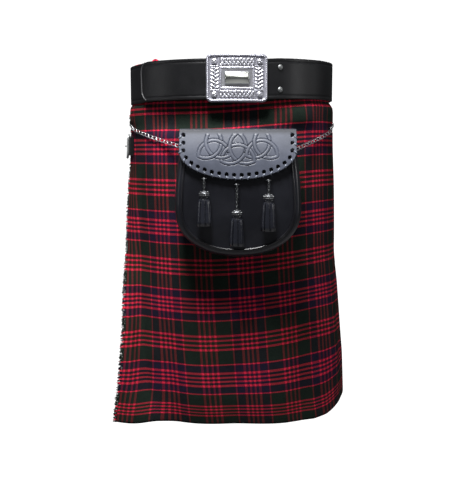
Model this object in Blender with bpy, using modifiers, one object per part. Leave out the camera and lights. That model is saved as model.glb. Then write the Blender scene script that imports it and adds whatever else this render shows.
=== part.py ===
"""A kilt as it is worn, with no wearer in it, and its belt and sporran.

Metres, +Z up. The origin is the middle of the waist, level with the middle of the belt. The
front faces -Y and +X is the wearer's left. The tables below are in millimetres.

The body is an oval whose size changes with height. A place on it is given by its turn, in
degrees from the front centre towards +X, and by how far it stands out from the cloth's face.
"""

import math
from collections import namedtuple

import bmesh
import bpy
import numpy as np
from mathutils import Vector

MM = 0.001


def table(columns, rows):
    """Named rows in metres from rows in millimetres. Columns of turns and shares stay as they are."""
    row_type = namedtuple("Row", columns)
    units = [1 if name.endswith(("turn", "share")) else MM for name in row_type._fields]
    return [row_type(*(unit * value for unit, value in zip(units, row))) for row in rows]


# The cloth's outer face at each height, and how far apart the pleats' layers lie there.
BODY = table(
    "height half_width front back layer_pitch",
    (
        (31, 159.3, 130.3, 131, 1.8),
        (-31, 159.3, 130.3, 131, 1.8),
        (-46, 163.5, 133.5, 135, 1.8),
        (-98, 167.2, 138, 141, 1.8),
        (-124, 168.1, 139.3, 143.5, 1.8),
        (-160, 169.3, 141, 147, 1.8),
        (-270, 171.2, 144, 153, 1.9),
        (-320, 177.5, 145.5, 156, 2.0),
        (-372, 182, 146.5, 158, 2.1),
        (-450, 188.2, 148.3, 162, 2.3),
        (-525, 191, 150, 165, 2.6),
    ),
)
# The over-apron's free side, at the same heights: it leaves the body, dips into a valley,
# rises to a ridge and ends in its fringed edge.
APRON_SWING = table(
    "height leave_turn valley_turn valley_out ridge_turn ridge_out edge_turn edge_out",
    (
        (31, -50, -61, 0, -71, 0, -83, 0),
        (-31, -50, -61, 0, -71, 0, -83, 0),
        (-46, -48, -60, 0, -70, 0, -81, 0),
        (-98, -46, -57, 0, -66, 0, -77.5, 0),
        (-124, -45, -56, 0, -65, 0, -76, 0),
        (-160, -43, -55, 0, -63, 1.2, -73.8, 2.8),
        (-270, -40, -56, 0.4, -60, 9.2, -64.5, 13.7),
        (-320, -38, -53, 2, -56, 15, -58.2, 21.4),
        (-372, -35, -49, 4.6, -51.2, 23, -52.4, 31),
        (-450, -30, -43.6, 12, -47, 34, -49.4, 41.9),
        (-525, -25, -34, 11, -41.8, 39.4, -49.7, 52),
    ),
)

# Cloth
CLOTH = 1.2 * MM
SEAM_GAP = 0.3 * MM
ON_PLEATS = 0.45 * MM  # what lies on the cloth starts this far out, clear of the pleats' folded edges
CORNER_TURN = 92  # the over-apron's folded side, at the wearer's left
LAST_PLEAT_TURN = 260
PLEATS = 22
PLEATS_IN_PANEL = {"pleats_left": 5, "pleats_back_left": 6, "pleats_back_right": 6, "pleats_right": 5}
FOLD_SHARE = 0.8  # a pleat's folded layers, as a share of its face
APRON_RETURN = 30 * MM  # the over-apron's cloth folded back inside its corner
APRON_COLUMNS = 38
UNDER_COLUMNS = 26
FRINGE = 6 * MM
FRINGE_THICK = 0.9 * MM
FRINGE_FROM = 2  # the fringe starts at this row of the table, just under the belt
BAND_LOW, BAND_HIGH, BAND_THICK = 3 * MM, 31.8 * MM, 1.5 * MM
BAND_TURNS = (-82, 275.5)
BAND_COLUMNS = 104

# Belt
BELT_HALF_HEIGHT = 30 * MM
BELT_THICK = 3.6 * MM
LAP_THICK = 3.4 * MM
BELT_INSIDE = ON_PLEATS + BAND_THICK + SEAM_GAP  # the belt's inner face, out from the cloth
BELT_COLUMNS = 96
STRAP_START, STRAP_END = 14 * MM, 8 * MM  # both ends lie behind the buckle
STRAP_RISE = (85 * MM, 135 * MM)  # where the strap comes out to the lap's level
LAP_START, LAP_END_TURN, LAP_END_BULGE = 8 * MM, -56, 9 * MM
LAP_COLUMNS = 22
RIVET_ARC, RIVET_HEIGHT = 71 * MM, 16.4 * MM
RIVET_RADIUS, RIVET_DOME = 3.75 * MM, 2.4 * MM

# Buckle plate
PLATE_WIDTH, PLATE_HEIGHT, PLATE_CORNER = 89 * MM, 67.4 * MM, 8 * MM
PLATE_ARC, PLATE_LEVEL = 5.8 * MM, -0.9 * MM
PLATE_PARTS = (8, 4, 3)  # along each long side, each short side and each corner
PLATE_STEPS = table(
    "inset rise",
    (
        (25, 0),
        (19, 0),
        (12, 0),
        (6, 0),
        (0, 0),
        (0, 3),
        (0.8, 3.8),
        (4.2, 3.8),
        (5.2, 2.6),
        (18.5, 2.6),
        (19.3, 3.6),
        (21.3, 3.6),
        (22.1, 2.6),
        (23.6, 2.6),
        (24.4, 5.2),
        (25.6, 6.2),
    ),
)

# Hip strap and its buckle
HIP_LEVEL, HIP_HALF_HEIGHT, HIP_THICK = -98 * MM, 15 * MM, 2 * MM
HIP_TURNS = (-68, -112)
HIP_COLUMNS = 26
HIP_BUCKLE_TURN = -86
HIP_HUMP, HIP_HUMP_TURNS = 3.2 * MM, 3.2
FRAME_HALF_WIDTH_TURNS, FRAME_HALF_HEIGHT, FRAME_WIRE = 5.2, 18.6 * MM, 1.6 * MM
FRAME_CORNER_SHARE = 0.25
PRONG_WIRE = 1 * MM

# Sporran
POUCH_X = 10 * MM
POUCH_HALF_WIDTH, POUCH_TOP_HALF_WIDTH = 90.5 * MM, 79 * MM
POUCH_TOP, POUCH_WIDEST, POUCH_BOTTOM = -80 * MM, -190 * MM, -258 * MM
POUCH_SQUARENESS = 2.2
POUCH_BACK_Y, POUCH_BACK_THICK = -144.2 * MM, 2.6 * MM
GUSSET_THICK = 2.4 * MM
POUCH_DEPTH = table(
    "height depth",  # from the face of the pouch's back to the middle of its front
    ((-80, 30), (-100, 36.5), (-125, 41), (-150, 43), (-200, 43.5), (-258, 42)),
)
GUSSET_START = 3.1 * MM  # forward of the back's face
GUSSET = table(
    "inset forward_share",  # in from the pouch's outline, and forward as a share of its depth
    ((1.6, 0), (0.4, 0.24), (0.2, 0.57), (1.2, 0.82), (4.2, 0.965), (9.2, 1.01)),
)
FRONT_INSET, FRONT_THICK = 9.95 * MM, 2.6 * MM
FRONT_COLUMNS = 13
POUCH_SIDE_POINTS, POUCH_ROUND_POINTS = 8, 16

FLAP_X, FLAP_HALF_WIDTH, FLAP_THICK = 9.5 * MM, 84 * MM, 3 * MM
FLAP_STRAIGHT_TO, FLAP_BOTTOM = -105 * MM, -146 * MM
FLAP_COLUMNS, FLAP_FRONT_ROWS = 17, 6
FLAP_FOLD = table(
    "y height",  # the middle of the leather from the back of the pouch over to its front
    (
        (-145.5, -79),
        (-146.1, -76.6),
        (-152, -74.6),
        (-170, -75),
        (-178.4, -77.4),
        (-181.4, -83.4),
    ),
)
FLAP_EDGE_Y = -195 * MM
LACING_RADIUS, LACING_OFF = 1.1 * MM, 1.6 * MM
LACING_POINTS = 30

# Chains and the strap that joins them behind
CHAIN_RADIUS = 2.1 * MM
CHAIN_OUT = 2.6 * MM
CHAIN_SIDES = {"left": (-1, -99.5 * MM, 42), "right": (1, -104.5 * MM, 51)}  # side, ring's level, turn
CHAIN_END_TURN, CHAIN_END_LEVEL = 112, -56 * MM
CHAIN_POINTS = 24
RING_RADIUS, RING_WIRE = 5 * MM, 1.1 * MM
BACK_STRAP_HALF_HEIGHT, BACK_STRAP_THICK = 8 * MM, 2.4 * MM
BACK_STRAP_COLUMNS = 44

# Tassels: a staple in the pouch's front holds each one's chain
TASSELS = table(
    "x staple_height cap_top cap_height skirt_height",
    (
        (-38.8, -145, 16.4, 11.6, 40),
        (7.9, -153.5, 35, 11.8, 41.6),
        (53.4, -147.5, 18, 11.8, 43),
    ),
)
TASSEL_NAMES = ("tassel_left", "tassel_centre", "tassel_right")  # left and right as seen
TASSEL_Y = -198 * MM
STAPLE_HALF_WIDTH, STAPLE_WIRE = 3.2 * MM, 0.7 * MM
EYE_RADIUS, EYE_WIRE = 2.2 * MM, 0.7 * MM
EYE_DEGREES = 300
CAP_RADIUS, CAP_FLATNESS = 7.6 * MM, 0.86
SKIRT_TOP, SKIRT_BOTTOM, SKIRT_FLATNESS = 8.2 * MM, 10.4 * MM, 0.72
ROUND_SIDES = 16


# ---------------------------------------------------------------- materials and objects
def material(name, colour, roughness, metallic=0.0):
    made = bpy.data.materials.new(name)
    made.use_nodes = True
    shader = made.node_tree.nodes["Principled BSDF"]
    shader.inputs["Base Color"].default_value = (*colour, 1)
    shader.inputs["Roughness"].default_value = roughness
    shader.inputs["Metallic"].default_value = metallic
    return made


def add_object(name, data, look, parent=None, location=(0, 0, 0)):
    made = bpy.data.objects.new(name, data)
    made.parent = parent
    made.location = location
    data.materials.append(look)
    KILT.objects.link(made)
    return made


def add_empty(name, location):
    made = bpy.data.objects.new(name, None)
    made.location = location
    KILT.objects.link(made)
    return made


def smooth_shaded(data, degrees=40):
    data.shade_smooth()
    data.set_sharp_from_angle(angle=math.radians(degrees))


def sheet(name, rows, thickness, look, parent=None):
    """A wall of even thickness on a grid of points, its rows listed from the bottom up."""
    grid = bmesh.new()
    lines = [[grid.verts.new(point) for point in row] for row in rows]
    for low, high in zip(lines, lines[1:]):
        for i in range(len(low) - 1):
            grid.faces.new((low[i], low[i + 1], high[i + 1], high[i]))
    data = bpy.data.meshes.new(name)
    grid.to_mesh(data)
    grid.free()
    made = add_object(name, data, look, parent)
    wall = made.modifiers.new("wall", "SOLIDIFY")
    wall.thickness = thickness
    wall.offset = 0
    wall.use_even_offset = True
    wall.use_quality_normals = True
    smooth_shaded(data)
    return made


def tube(name, points, radius, look, parent=None, location=(0, 0, 0), cyclic=False):
    data = bpy.data.curves.new(name, "CURVE")
    data.dimensions = "3D"
    spline = data.splines.new("POLY")
    spline.points.add(len(points) - 1)
    for place, point in zip(spline.points, points):
        place.co = (*point, 1)
    spline.use_cyclic_u = cyclic
    data.bevel_depth = radius
    data.bevel_resolution = 2
    data.use_fill_caps = not cyclic
    return add_object(name, data, look, parent, location)


def turned(name, profile, look, parent, location=(0, 0, 0), flatness=1.0):
    """A shape turned about Z from a profile of (radius, height) that runs from top to bottom."""
    line = bmesh.new()
    points = [line.verts.new((radius, 0, height)) for radius, height in profile]
    for a, b in zip(points, points[1:]):
        line.edges.new((a, b))
    data = bpy.data.meshes.new(name)
    line.to_mesh(data)
    line.free()
    made = add_object(name, data, look, parent, location)
    made.scale.y = flatness
    spin = made.modifiers.new("turn", "SCREW")
    spin.steps = spin.render_steps = ROUND_SIDES
    spin.use_merge_vertices = True
    spin.merge_threshold = 0.0001
    return made


# ---------------------------------------------------------------- the body
def smoothed(share):
    """0 to 1 with no corner at either end."""
    share = min(max(share, 0.0), 1.0)
    return share * share * (3 - 2 * share)


class Outline:
    """The cloth's outer face at one height, measured along it from the front centre."""

    TURNS = np.linspace(0, 2 * math.pi, 1441)

    def __init__(self, height):
        at = [-row.height for row in BODY]
        width, front, back, self.pitch = (
            float(np.interp(-height, at, [getattr(row, column) for row in BODY]))
            for column in ("half_width", "front", "back", "layer_pitch")
        )
        self.height = height
        depth = np.where(np.cos(self.TURNS) > 0, front, back)
        self.x = width * np.sin(self.TURNS)
        self.y = -depth * np.cos(self.TURNS)
        steps = np.hypot(np.diff(self.x), np.diff(self.y))
        self.along = np.concatenate([[0], np.cumsum(steps)])
        self.length = float(self.along[-1])

    def arc(self, turn):
        """How far along the outline a turn in degrees lies, negative to the wearer's right."""
        laps, rest = divmod(math.radians(turn), 2 * math.pi)
        return float(np.interp(rest, self.TURNS, self.along)) + laps * self.length

    def point(self, arc, out):
        """The point that far along and that far out from the face."""
        step = 0.5 * MM
        around = [(arc + shift) % self.length for shift in (-step, 0, step)]
        x = np.interp(around, self.along, self.x)
        y = np.interp(around, self.along, self.y)
        across = Vector((y[2] - y[0], x[0] - x[2])).normalized()
        return Vector((x[1] + across.x * out, y[1] + across.y * out, self.height))


OUTLINES = [Outline(row.height) for row in BODY]
WAIST = Outline(0)


def on_body(turn, height, out):
    outline = Outline(height)
    return outline.point(outline.arc(turn), out)


def evenly(start, end, count):
    return [start + (end - start) * i / (count - 1) for i in range(count)]


# ---------------------------------------------------------------- pleats
class PleatPlan:
    """Where the pleats' folds lie at one height."""

    def __init__(self, outline):
        self.outline = outline
        self.corner = outline.arc(CORNER_TURN)
        self.last = outline.arc(LAST_PLEAT_TURN)
        self.face = (self.last - self.corner) / PLEATS
        self.fold = FOLD_SHARE * self.face
        self.pitch = outline.pitch
        self.top = -CLOTH / 2
        self.fold_top = self.top - 2 * self.pitch * FOLD_SHARE

    def tip(self, number):
        return self.corner + number * self.face

    def third_layer(self, number):
        """The hidden layer that runs forward under pleat number to the next face."""
        level = self.top - 2 * self.pitch
        if number == 0:
            return [(arc, level) for arc in evenly(self.corner - APRON_RETURN, self.corner, 4)]
        return [(self.tip(number) - self.fold, self.fold_top - 2 * self.pitch), (self.tip(number), level)]

    def face_and_return(self, number):
        tip = self.tip(number)
        return [
            (tip, self.top),
            (tip, self.top - self.pitch),
            (tip - self.fold, self.fold_top - self.pitch),
        ]

    def panel(self, first, count):
        """A run of pleats, from the layer under the pleat before it."""
        path = self.third_layer(first - 1)
        for number in range(first, first + count):
            path += self.face_and_return(number)
            if number < first + count - 1:
                path += self.third_layer(number)
        return path

    def under_apron(self):
        """The inner layer, from under the last pleat across the front."""
        end = self.outline.length + self.corner - APRON_RETURN - 8 * MM
        start = self.third_layer(PLEATS)
        level = start[-1][1]
        return start[:1] + [(arc, level) for arc in evenly(start[-1][0], end, UNDER_COLUMNS)]

    def points(self, path):
        return [self.outline.point(arc, out) for arc, out in path]


def make_pleats_and_under_apron(look):
    plans = [PleatPlan(outline) for outline in reversed(OUTLINES)]
    first = 1
    for name, count in PLEATS_IN_PANEL.items():
        sheet(name, [plan.points(plan.panel(first, count)) for plan in plans], CLOTH, look)
        first += count
    sheet("under_apron", [plan.points(plan.under_apron()) for plan in plans], CLOTH, look)


# ---------------------------------------------------------------- over-apron and its fringe
def curve_through(knots, share):
    """A point on the smooth curve through the knots, at a share of the way along them."""
    knots = [Vector(knot) for knot in knots]
    knots = [2 * knots[0] - knots[1], *knots, 2 * knots[-1] - knots[-2]]
    at = share * (len(knots) - 3)
    i = min(int(at), len(knots) - 4)
    a, b, c, d = knots[i : i + 4]
    t = at - i
    return 0.5 * (2 * b + (c - a) * t + (2 * a - 5 * b + 4 * c - d) * t * t + (3 * b - a - 3 * c + d) * t**3)


def apron_line(outline, swing):
    """The over-apron's middle line from its free edge to its corner fold."""
    knots = (
        (swing.edge_turn, swing.edge_out),
        (swing.ridge_turn, swing.ridge_out),
        (swing.valley_turn, swing.valley_out),
        (swing.leave_turn, 0),
        (swing.leave_turn + 12, 0),
    )
    free = [curve_through(knots, share) for share in evenly(0, 1, 60)]
    places = [(turn, max(out, 0)) for turn, out in free]
    places += [(turn, 0) for turn in evenly(places[-1][0], CORNER_TURN, 90)[1:]]
    line = [outline.point(outline.arc(turn), out - CLOTH / 2) for turn, out in places]
    along = np.concatenate([[0], np.cumsum([(b - a).length for a, b in zip(line, line[1:])])])
    even = np.linspace(0, along[-1], APRON_COLUMNS)
    return [
        Vector((np.interp(at, along, [p.x for p in line]), np.interp(at, along, [p.y for p in line]), line[0].z))
        for at in even
    ]


def make_over_apron(look, fringe_look):
    rows, fringe_rows = [], []
    for outline, swing in reversed(list(zip(OUTLINES, APRON_SWING))):
        line = apron_line(outline, swing)
        plan = PleatPlan(outline)
        inside = plan.top - plan.pitch
        back = evenly(plan.corner, plan.corner - APRON_RETURN, 4)
        rows.append(line + [outline.point(arc, inside) for arc in back])
        # The way on from the edge keeps the bend of the cloth's last two steps.
        onward = (2 * (line[0] - line[1]) - (line[1] - line[2])).normalized()
        fringe_rows.append([line[0] + onward * (FRINGE + SEAM_GAP), line[0] + onward * SEAM_GAP])
    sheet("over_apron", rows, CLOTH, look)
    sheet("apron_fringe", fringe_rows[: len(BODY) - FRINGE_FROM], FRINGE_THICK, fringe_look)


def make_waistband(look):
    out = ON_PLEATS + BAND_THICK / 2
    turns = evenly(*BAND_TURNS, BAND_COLUMNS)
    rows = [[on_body(turn, height, out) for turn in turns] for height in (BAND_LOW, BAND_HIGH)]
    sheet("waistband", rows, BAND_THICK, look)


# ---------------------------------------------------------------- belt
def at_waist(arc, height, out):
    point = WAIST.point(arc, out)
    return Vector((point.x, point.y, height))


def strap_level(arc):
    """The middle of the belt's leather, out from the cloth. It comes out to reach the buckle."""
    low, high = STRAP_RISE
    inner = BELT_INSIDE + BELT_THICK / 2
    return inner + (LAP_THICK + SEAM_GAP) * smoothed((high - arc) / (high - low))


def make_belt(look, metal):
    heights = (-BELT_HALF_HEIGHT, 0, BELT_HALF_HEIGHT)
    arcs = evenly(STRAP_START, WAIST.length + STRAP_END, BELT_COLUMNS)
    rows = [[at_waist(arc, height, strap_level(arc)) for arc in arcs] for height in heights]
    sheet("belt_strap", rows, BELT_THICK, look)

    out = BELT_INSIDE + BELT_THICK + SEAM_GAP + LAP_THICK / 2
    rows = []
    for share in (-1, -0.95, -0.8, -0.5, 0, 0.5, 0.8, 0.95, 1):
        end = WAIST.arc(LAP_END_TURN) - LAP_END_BULGE * (1 - abs(share) ** 4)
        row = [at_waist(arc, share * BELT_HALF_HEIGHT, out) for arc in evenly(end, LAP_START, LAP_COLUMNS)]
        rows.append(row)
    sheet("belt_lap", rows, LAP_THICK, look)

    dome = [(RIVET_RADIUS * math.sin(a), RIVET_DOME * math.cos(a)) for a in evenly(0, math.pi / 2, 6)]
    seat = strap_level(RIVET_ARC) + BELT_THICK / 2 + SEAM_GAP
    for name, side in (("belt_rivet_upper", 1), ("belt_rivet_lower", -1)):
        place = at_waist(RIVET_ARC, side * RIVET_HEIGHT, seat)
        rivet = turned(name, [*dome, (0, 0)], metal, None, place)
        outward = place - at_waist(RIVET_ARC, side * RIVET_HEIGHT, 0)
        rivet.rotation_euler = outward.to_track_quat("Z", "Y").to_euler()


def rounded_rectangle(width, height, corner, long_parts, short_parts, corner_parts):
    """Points round a rectangle with round corners, anticlockwise from its right side."""
    x, y = width / 2 - corner, height / 2 - corner
    points = []
    for quarter, (cx, cy) in enumerate(((x, y), (-x, y), (-x, -y), (x, -y))):
        for i in range(corner_parts + 1):
            angle = math.pi / 2 * (quarter + i / corner_parts)
            points.append((cx + corner * math.cos(angle), cy + corner * math.sin(angle)))
        parts = long_parts if quarter % 2 == 0 else short_parts
        next_angle = math.pi / 2 * (quarter + 1)
        nx, ny = ((-x, y), (-x, -y), (x, -y), (x, y))[quarter]
        far = (nx + corner * math.cos(next_angle), ny + corner * math.sin(next_angle))
        near = points[-1]
        points += [
            (near[0] + (far[0] - near[0]) * i / parts, near[1] + (far[1] - near[1]) * i / parts)
            for i in range(1, parts)
        ]
    return points


def close_with_strips(cast, ring):
    """Faces from the ring's upper side down to its lower side, so that the closed face can bend."""
    long_parts, short_parts, corner_parts = PLATE_PARTS
    half = 2 * corner_parts + long_parts + 1
    upper, lower = ring[:half], ring[half + short_parts - 1 : 2 * half + short_parts - 1][::-1]
    for i in range(half - 1):
        cast.faces.new((upper[i], upper[i + 1], lower[i + 1], lower[i]))
    cast.faces.new((lower[0], *ring[2 * half + short_parts - 1 :], upper[0]))
    cast.faces.new((upper[-1], *ring[half : half + short_parts - 1], lower[-1]))


def make_buckle_plate(metal):
    """A cast plate in steps, bent to the belt."""
    seat = BELT_INSIDE + BELT_THICK + SEAM_GAP + LAP_THICK + SEAM_GAP
    cast = bmesh.new()
    rings = []
    for step in PLATE_STEPS:
        width, height = PLATE_WIDTH - 2 * step.inset, PLATE_HEIGHT - 2 * step.inset
        corner = max(PLATE_CORNER - step.inset, 1.5 * MM)
        ring = [
            cast.verts.new(at_waist(PLATE_ARC + u, PLATE_LEVEL + v, seat + step.rise))
            for u, v in rounded_rectangle(width, height, corner, *PLATE_PARTS)
        ]
        rings.append(ring)
    for low, high in zip(rings, rings[1:]):
        for i in range(len(low)):
            j = (i + 1) % len(low)
            cast.faces.new((low[i], low[j], high[j], high[i]))
    for ring in (rings[0], rings[-1]):
        close_with_strips(cast, ring)
    bmesh.ops.recalc_face_normals(cast, faces=cast.faces)
    data = bpy.data.meshes.new("buckle_plate")
    cast.to_mesh(data)
    cast.free()
    add_object("buckle_plate", data, metal)
    smooth_shaded(data)


# ---------------------------------------------------------------- hip strap
def make_hip_strap(leather, metal):
    """A strap sewn to the over-apron, threaded through a buckle on the pleats."""
    low_out = ON_PLEATS + HIP_THICK / 2

    def level(turn):
        """The strap climbs over the buckle's bar in the middle of its frame."""
        off = abs(turn - HIP_BUCKLE_TURN) / HIP_HUMP_TURNS
        return low_out + HIP_HUMP * smoothed(1.15 - off)

    heights = evenly(HIP_LEVEL - HIP_HALF_HEIGHT, HIP_LEVEL + HIP_HALF_HEIGHT, 5)
    turns = evenly(*HIP_TURNS, HIP_COLUMNS)[::-1]
    rows = [[on_body(turn, height, level(turn)) for turn in turns] for height in heights]
    sheet("hip_strap", rows, HIP_THICK, leather)

    frame_out = ON_PLEATS + HIP_THICK + SEAM_GAP + FRAME_WIRE
    unit = rounded_rectangle(2, 2, 2 * FRAME_CORNER_SHARE, 2, 2, 3)
    around = [
        on_body(HIP_BUCKLE_TURN + u * FRAME_HALF_WIDTH_TURNS, HIP_LEVEL + v * FRAME_HALF_HEIGHT, frame_out)
        for u, v in unit
    ]
    tube("hip_buckle", around, FRAME_WIRE, metal, cyclic=True)

    over_strap = level(HIP_BUCKLE_TURN) + HIP_THICK / 2 + SEAM_GAP + PRONG_WIRE
    over_frame = frame_out + FRAME_WIRE + SEAM_GAP + PRONG_WIRE
    prong = [
        on_body(HIP_BUCKLE_TURN + share * FRAME_HALF_WIDTH_TURNS, HIP_LEVEL, max(over_strap, over_frame))
        for share in evenly(0, 1.2, 5)
    ]
    tube("hip_buckle_prong", prong, PRONG_WIRE, metal)


# ---------------------------------------------------------------- sporran
def pouch_outline(inset):
    """(x, height) round the pouch from its top at one side to the other, moved in by inset."""
    sides = []
    for share in evenly(0, 1, POUCH_SIDE_POINTS):
        width = POUCH_TOP_HALF_WIDTH + (POUCH_HALF_WIDTH - POUCH_TOP_HALF_WIDTH) * math.sin(share * math.pi / 2)
        sides.append((width - inset, POUCH_TOP + (POUCH_WIDEST - POUCH_TOP) * share))
    power = 2 / POUCH_SQUARENESS
    half, depth = POUCH_HALF_WIDTH - inset, POUCH_WIDEST - POUCH_BOTTOM - inset
    for angle in evenly(0, math.pi / 2, POUCH_ROUND_POINTS)[1:]:
        x, z = half * math.cos(angle) ** power, depth * math.sin(angle) ** power
        sides.append((x if angle < 1.57 else 0.0, POUCH_WIDEST - z))
    return [(-x, z) for x, z in sides] + [(x, z) for x, z in sides[-2::-1]]


def flat_panel(name, outline, y, thickness, look):
    """A flat piece cut to an outline, standing across Y."""
    data = bpy.data.curves.new(name, "CURVE")
    data.dimensions = "2D"
    data.fill_mode = "BOTH"
    data.extrude = thickness / 2
    spline = data.splines.new("POLY")
    spline.points.add(len(outline) - 1)
    for place, (x, z) in zip(spline.points, outline):
        place.co = (x, z, 0, 1)
    spline.use_cyclic_u = True
    made = add_object(name, data, look, None, (POUCH_X, y, 0))
    made.rotation_euler = (math.pi / 2, 0, 0)
    return made


def pouch_depth(height):
    at = [-row.height for row in POUCH_DEPTH]
    return float(np.interp(-height, at, [row.depth for row in POUCH_DEPTH]))


def make_pouch(leather):
    flat_panel("pouch_back", pouch_outline(0.5 * MM), POUCH_BACK_Y - POUCH_BACK_THICK / 2, POUCH_BACK_THICK, leather)
    rows = []
    for section in GUSSET:
        row = []
        for x, z in pouch_outline(section.inset):
            forward = GUSSET_START + section.forward_share * (pouch_depth(z) - GUSSET_START)
            row.append(Vector((POUCH_X + x, POUCH_BACK_Y - forward, z)))
        rows.append(row)
    sheet("pouch_gusset", rows, GUSSET_THICK, leather)

    outline = pouch_outline(FRONT_INSET)
    half = [(x, z) for x, z in outline if x > MM][::-1]
    rows = [
        [Vector((POUCH_X + side * x, POUCH_BACK_Y - pouch_depth(z), z)) for side in evenly(-1, 1, FRONT_COLUMNS)]
        for x, z in sorted(half, key=lambda place: place[1])
    ]
    sheet("pouch_front", rows, FRONT_THICK, leather)


def flap_bottom(across):
    """The flap's lower edge, from its middle at 0 to its sides at -1 and 1."""
    return FLAP_STRAIGHT_TO + (FLAP_BOTTOM - FLAP_STRAIGHT_TO) * math.sqrt(max(1 - across * across, 0))


def flap_y(height):
    """The flap's front leans out evenly from its fold to its lowest point."""
    fold_end = FLAP_FOLD[-1]
    share = (fold_end.height - height) / (fold_end.height - FLAP_BOTTOM)
    return fold_end.y + (FLAP_EDGE_Y - fold_end.y) * share


def make_flap(leather, thong):
    """One piece of leather from behind the pouch, over its mouth and down its front."""
    across = [math.sin(angle) for angle in evenly(-math.pi / 2, math.pi / 2, FLAP_COLUMNS)]
    fold_end = FLAP_FOLD[-1]
    rows = [[Vector((FLAP_X + FLAP_HALF_WIDTH * a, row.y, row.height)) for a in across] for row in FLAP_FOLD]
    for share in evenly(0, 1, FLAP_FRONT_ROWS)[1:]:
        heights = [fold_end.height + (flap_bottom(a) - fold_end.height) * share for a in across]
        rows.append([Vector((FLAP_X + FLAP_HALF_WIDTH * a, flap_y(z), z)) for a, z in zip(across, heights)])
    sheet("flap", rows, FLAP_THICK, leather)

    path = [(-FLAP_HALF_WIDTH - LACING_OFF, z) for z in evenly(fold_end.height, FLAP_STRAIGHT_TO, 4)[:-1]]
    for angle in evenly(-math.pi / 2, math.pi / 2, LACING_POINTS):
        x = (FLAP_HALF_WIDTH + LACING_OFF) * math.sin(angle)
        z = FLAP_STRAIGHT_TO + (FLAP_BOTTOM - FLAP_STRAIGHT_TO - LACING_OFF) * math.cos(angle)
        path.append((x, z))
    path += [(FLAP_HALF_WIDTH + LACING_OFF, z) for z in evenly(FLAP_STRAIGHT_TO, fold_end.height, 4)[1:]]
    tube("flap_lacing", [(FLAP_X + x, flap_y(z), z) for x, z in path], LACING_RADIUS, thong)


def make_chains(metal, leather):
    """Chains from the pouch's rings round both hips, and a strap across the back."""
    for name, (side, ring_level, touch_turn) in CHAIN_SIDES.items():
        ring_x = POUCH_X + side * (POUCH_TOP_HALF_WIDTH - 2 * MM)
        centre = Vector((ring_x, POUCH_BACK_Y + SEAM_GAP + RING_WIRE, ring_level))
        circle = [
            centre + RING_RADIUS * Vector((math.cos(a), 0, math.sin(a))) for a in evenly(0, 2 * math.pi, 17)[:-1]
        ]
        tube(f"sporran_ring_{name}", circle, RING_WIRE, metal, cyclic=True)

        start = centre + Vector((side * (RING_RADIUS + RING_WIRE + SEAM_GAP + CHAIN_RADIUS), 0, 0))
        near, far = abs(start.x), WAIST.arc(CHAIN_END_TURN)
        points = [start]
        for turn in evenly(touch_turn, CHAIN_END_TURN, CHAIN_POINTS):
            left = 1 - (WAIST.arc(turn) - near) / (far - near)
            level = CHAIN_END_LEVEL + (ring_level - CHAIN_END_LEVEL) * left**1.5
            points.append(on_body(side * turn, level, CHAIN_OUT))
        tube(f"sporran_chain_{name}", points, CHAIN_RADIUS, metal)

    out = ON_PLEATS + BACK_STRAP_THICK / 2
    turns = evenly(CHAIN_END_TURN + 1.2, 360 - CHAIN_END_TURN - 1.2, BACK_STRAP_COLUMNS)
    heights = (CHAIN_END_LEVEL - BACK_STRAP_HALF_HEIGHT, CHAIN_END_LEVEL, CHAIN_END_LEVEL + BACK_STRAP_HALF_HEIGHT)
    rows = [[on_body(turn, height, out) for turn in turns] for height in heights]
    sheet("sporran_strap", rows, BACK_STRAP_THICK, leather)


def make_tassels(metal, leather):
    """Each tassel turns about the bar of its staple: a chain, a cast cap and a leather skirt."""
    for name, row in zip(TASSEL_NAMES, TASSELS):
        front_y = POUCH_BACK_Y - pouch_depth(row.staple_height) - FRONT_THICK / 2 - SEAM_GAP
        pivot = add_empty(name + "_pivot", (row.x, TASSEL_Y, row.staple_height))
        foot = front_y - TASSEL_Y
        bar = [(-STAPLE_HALF_WIDTH, foot, 0), (-STAPLE_HALF_WIDTH, 0, 0)]
        bar += [(STAPLE_HALF_WIDTH, 0, 0), (STAPLE_HALF_WIDTH, foot, 0)]
        tube(name + "_staple", bar, STAPLE_WIRE, metal, pivot)

        turns = evenly(math.pi, math.pi + math.radians(EYE_DEGREES), 13)
        eye = [(0, EYE_RADIUS * math.sin(a), EYE_RADIUS * math.cos(a)) for a in turns]
        tube(name + "_chain", [(0, 0, SEAM_GAP - row.cap_top), *eye], EYE_WIRE, metal, pivot)

        half = row.cap_height / 2
        angles = evenly(0, math.pi, 9)
        cap = [(CAP_RADIUS * math.sin(a), half * math.cos(a) - row.cap_top - half) for a in angles]
        turned(name + "_cap", [(max(r, 0), z) for r, z in cap], metal, pivot, flatness=CAP_FLATNESS)

        top = -row.cap_top - row.cap_height - SEAM_GAP
        bottom = top - row.skirt_height
        skirt = [(0, top), (SKIRT_TOP, top - MM), (SKIRT_BOTTOM, bottom), (0, bottom)]
        turned(name + "_skirt", skirt, leather, pivot, flatness=SKIRT_FLATNESS)


for old in list(bpy.data.objects):
    bpy.data.objects.remove(old, do_unlink=True)
KILT = bpy.data.collections.new("kilt")
bpy.context.scene.collection.children.link(KILT)

tartan = material("tartan wool", (0.16, 0.02, 0.035), 0.85)
fringe_wool = material("fringe wool", (0.13, 0.04, 0.05), 0.9)
belt_leather = material("belt leather", (0.02, 0.02, 0.022), 0.42)
pouch_leather = material("sporran leather", (0.017, 0.017, 0.02), 0.38)
thong_leather = material("thong", (0.012, 0.012, 0.014), 0.5)
polished = material("polished cast metal", (0.55, 0.55, 0.58), 0.22, 1.0)
dark_silver = material("darkened silver", (0.22, 0.22, 0.23), 0.35, 1.0)

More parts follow.
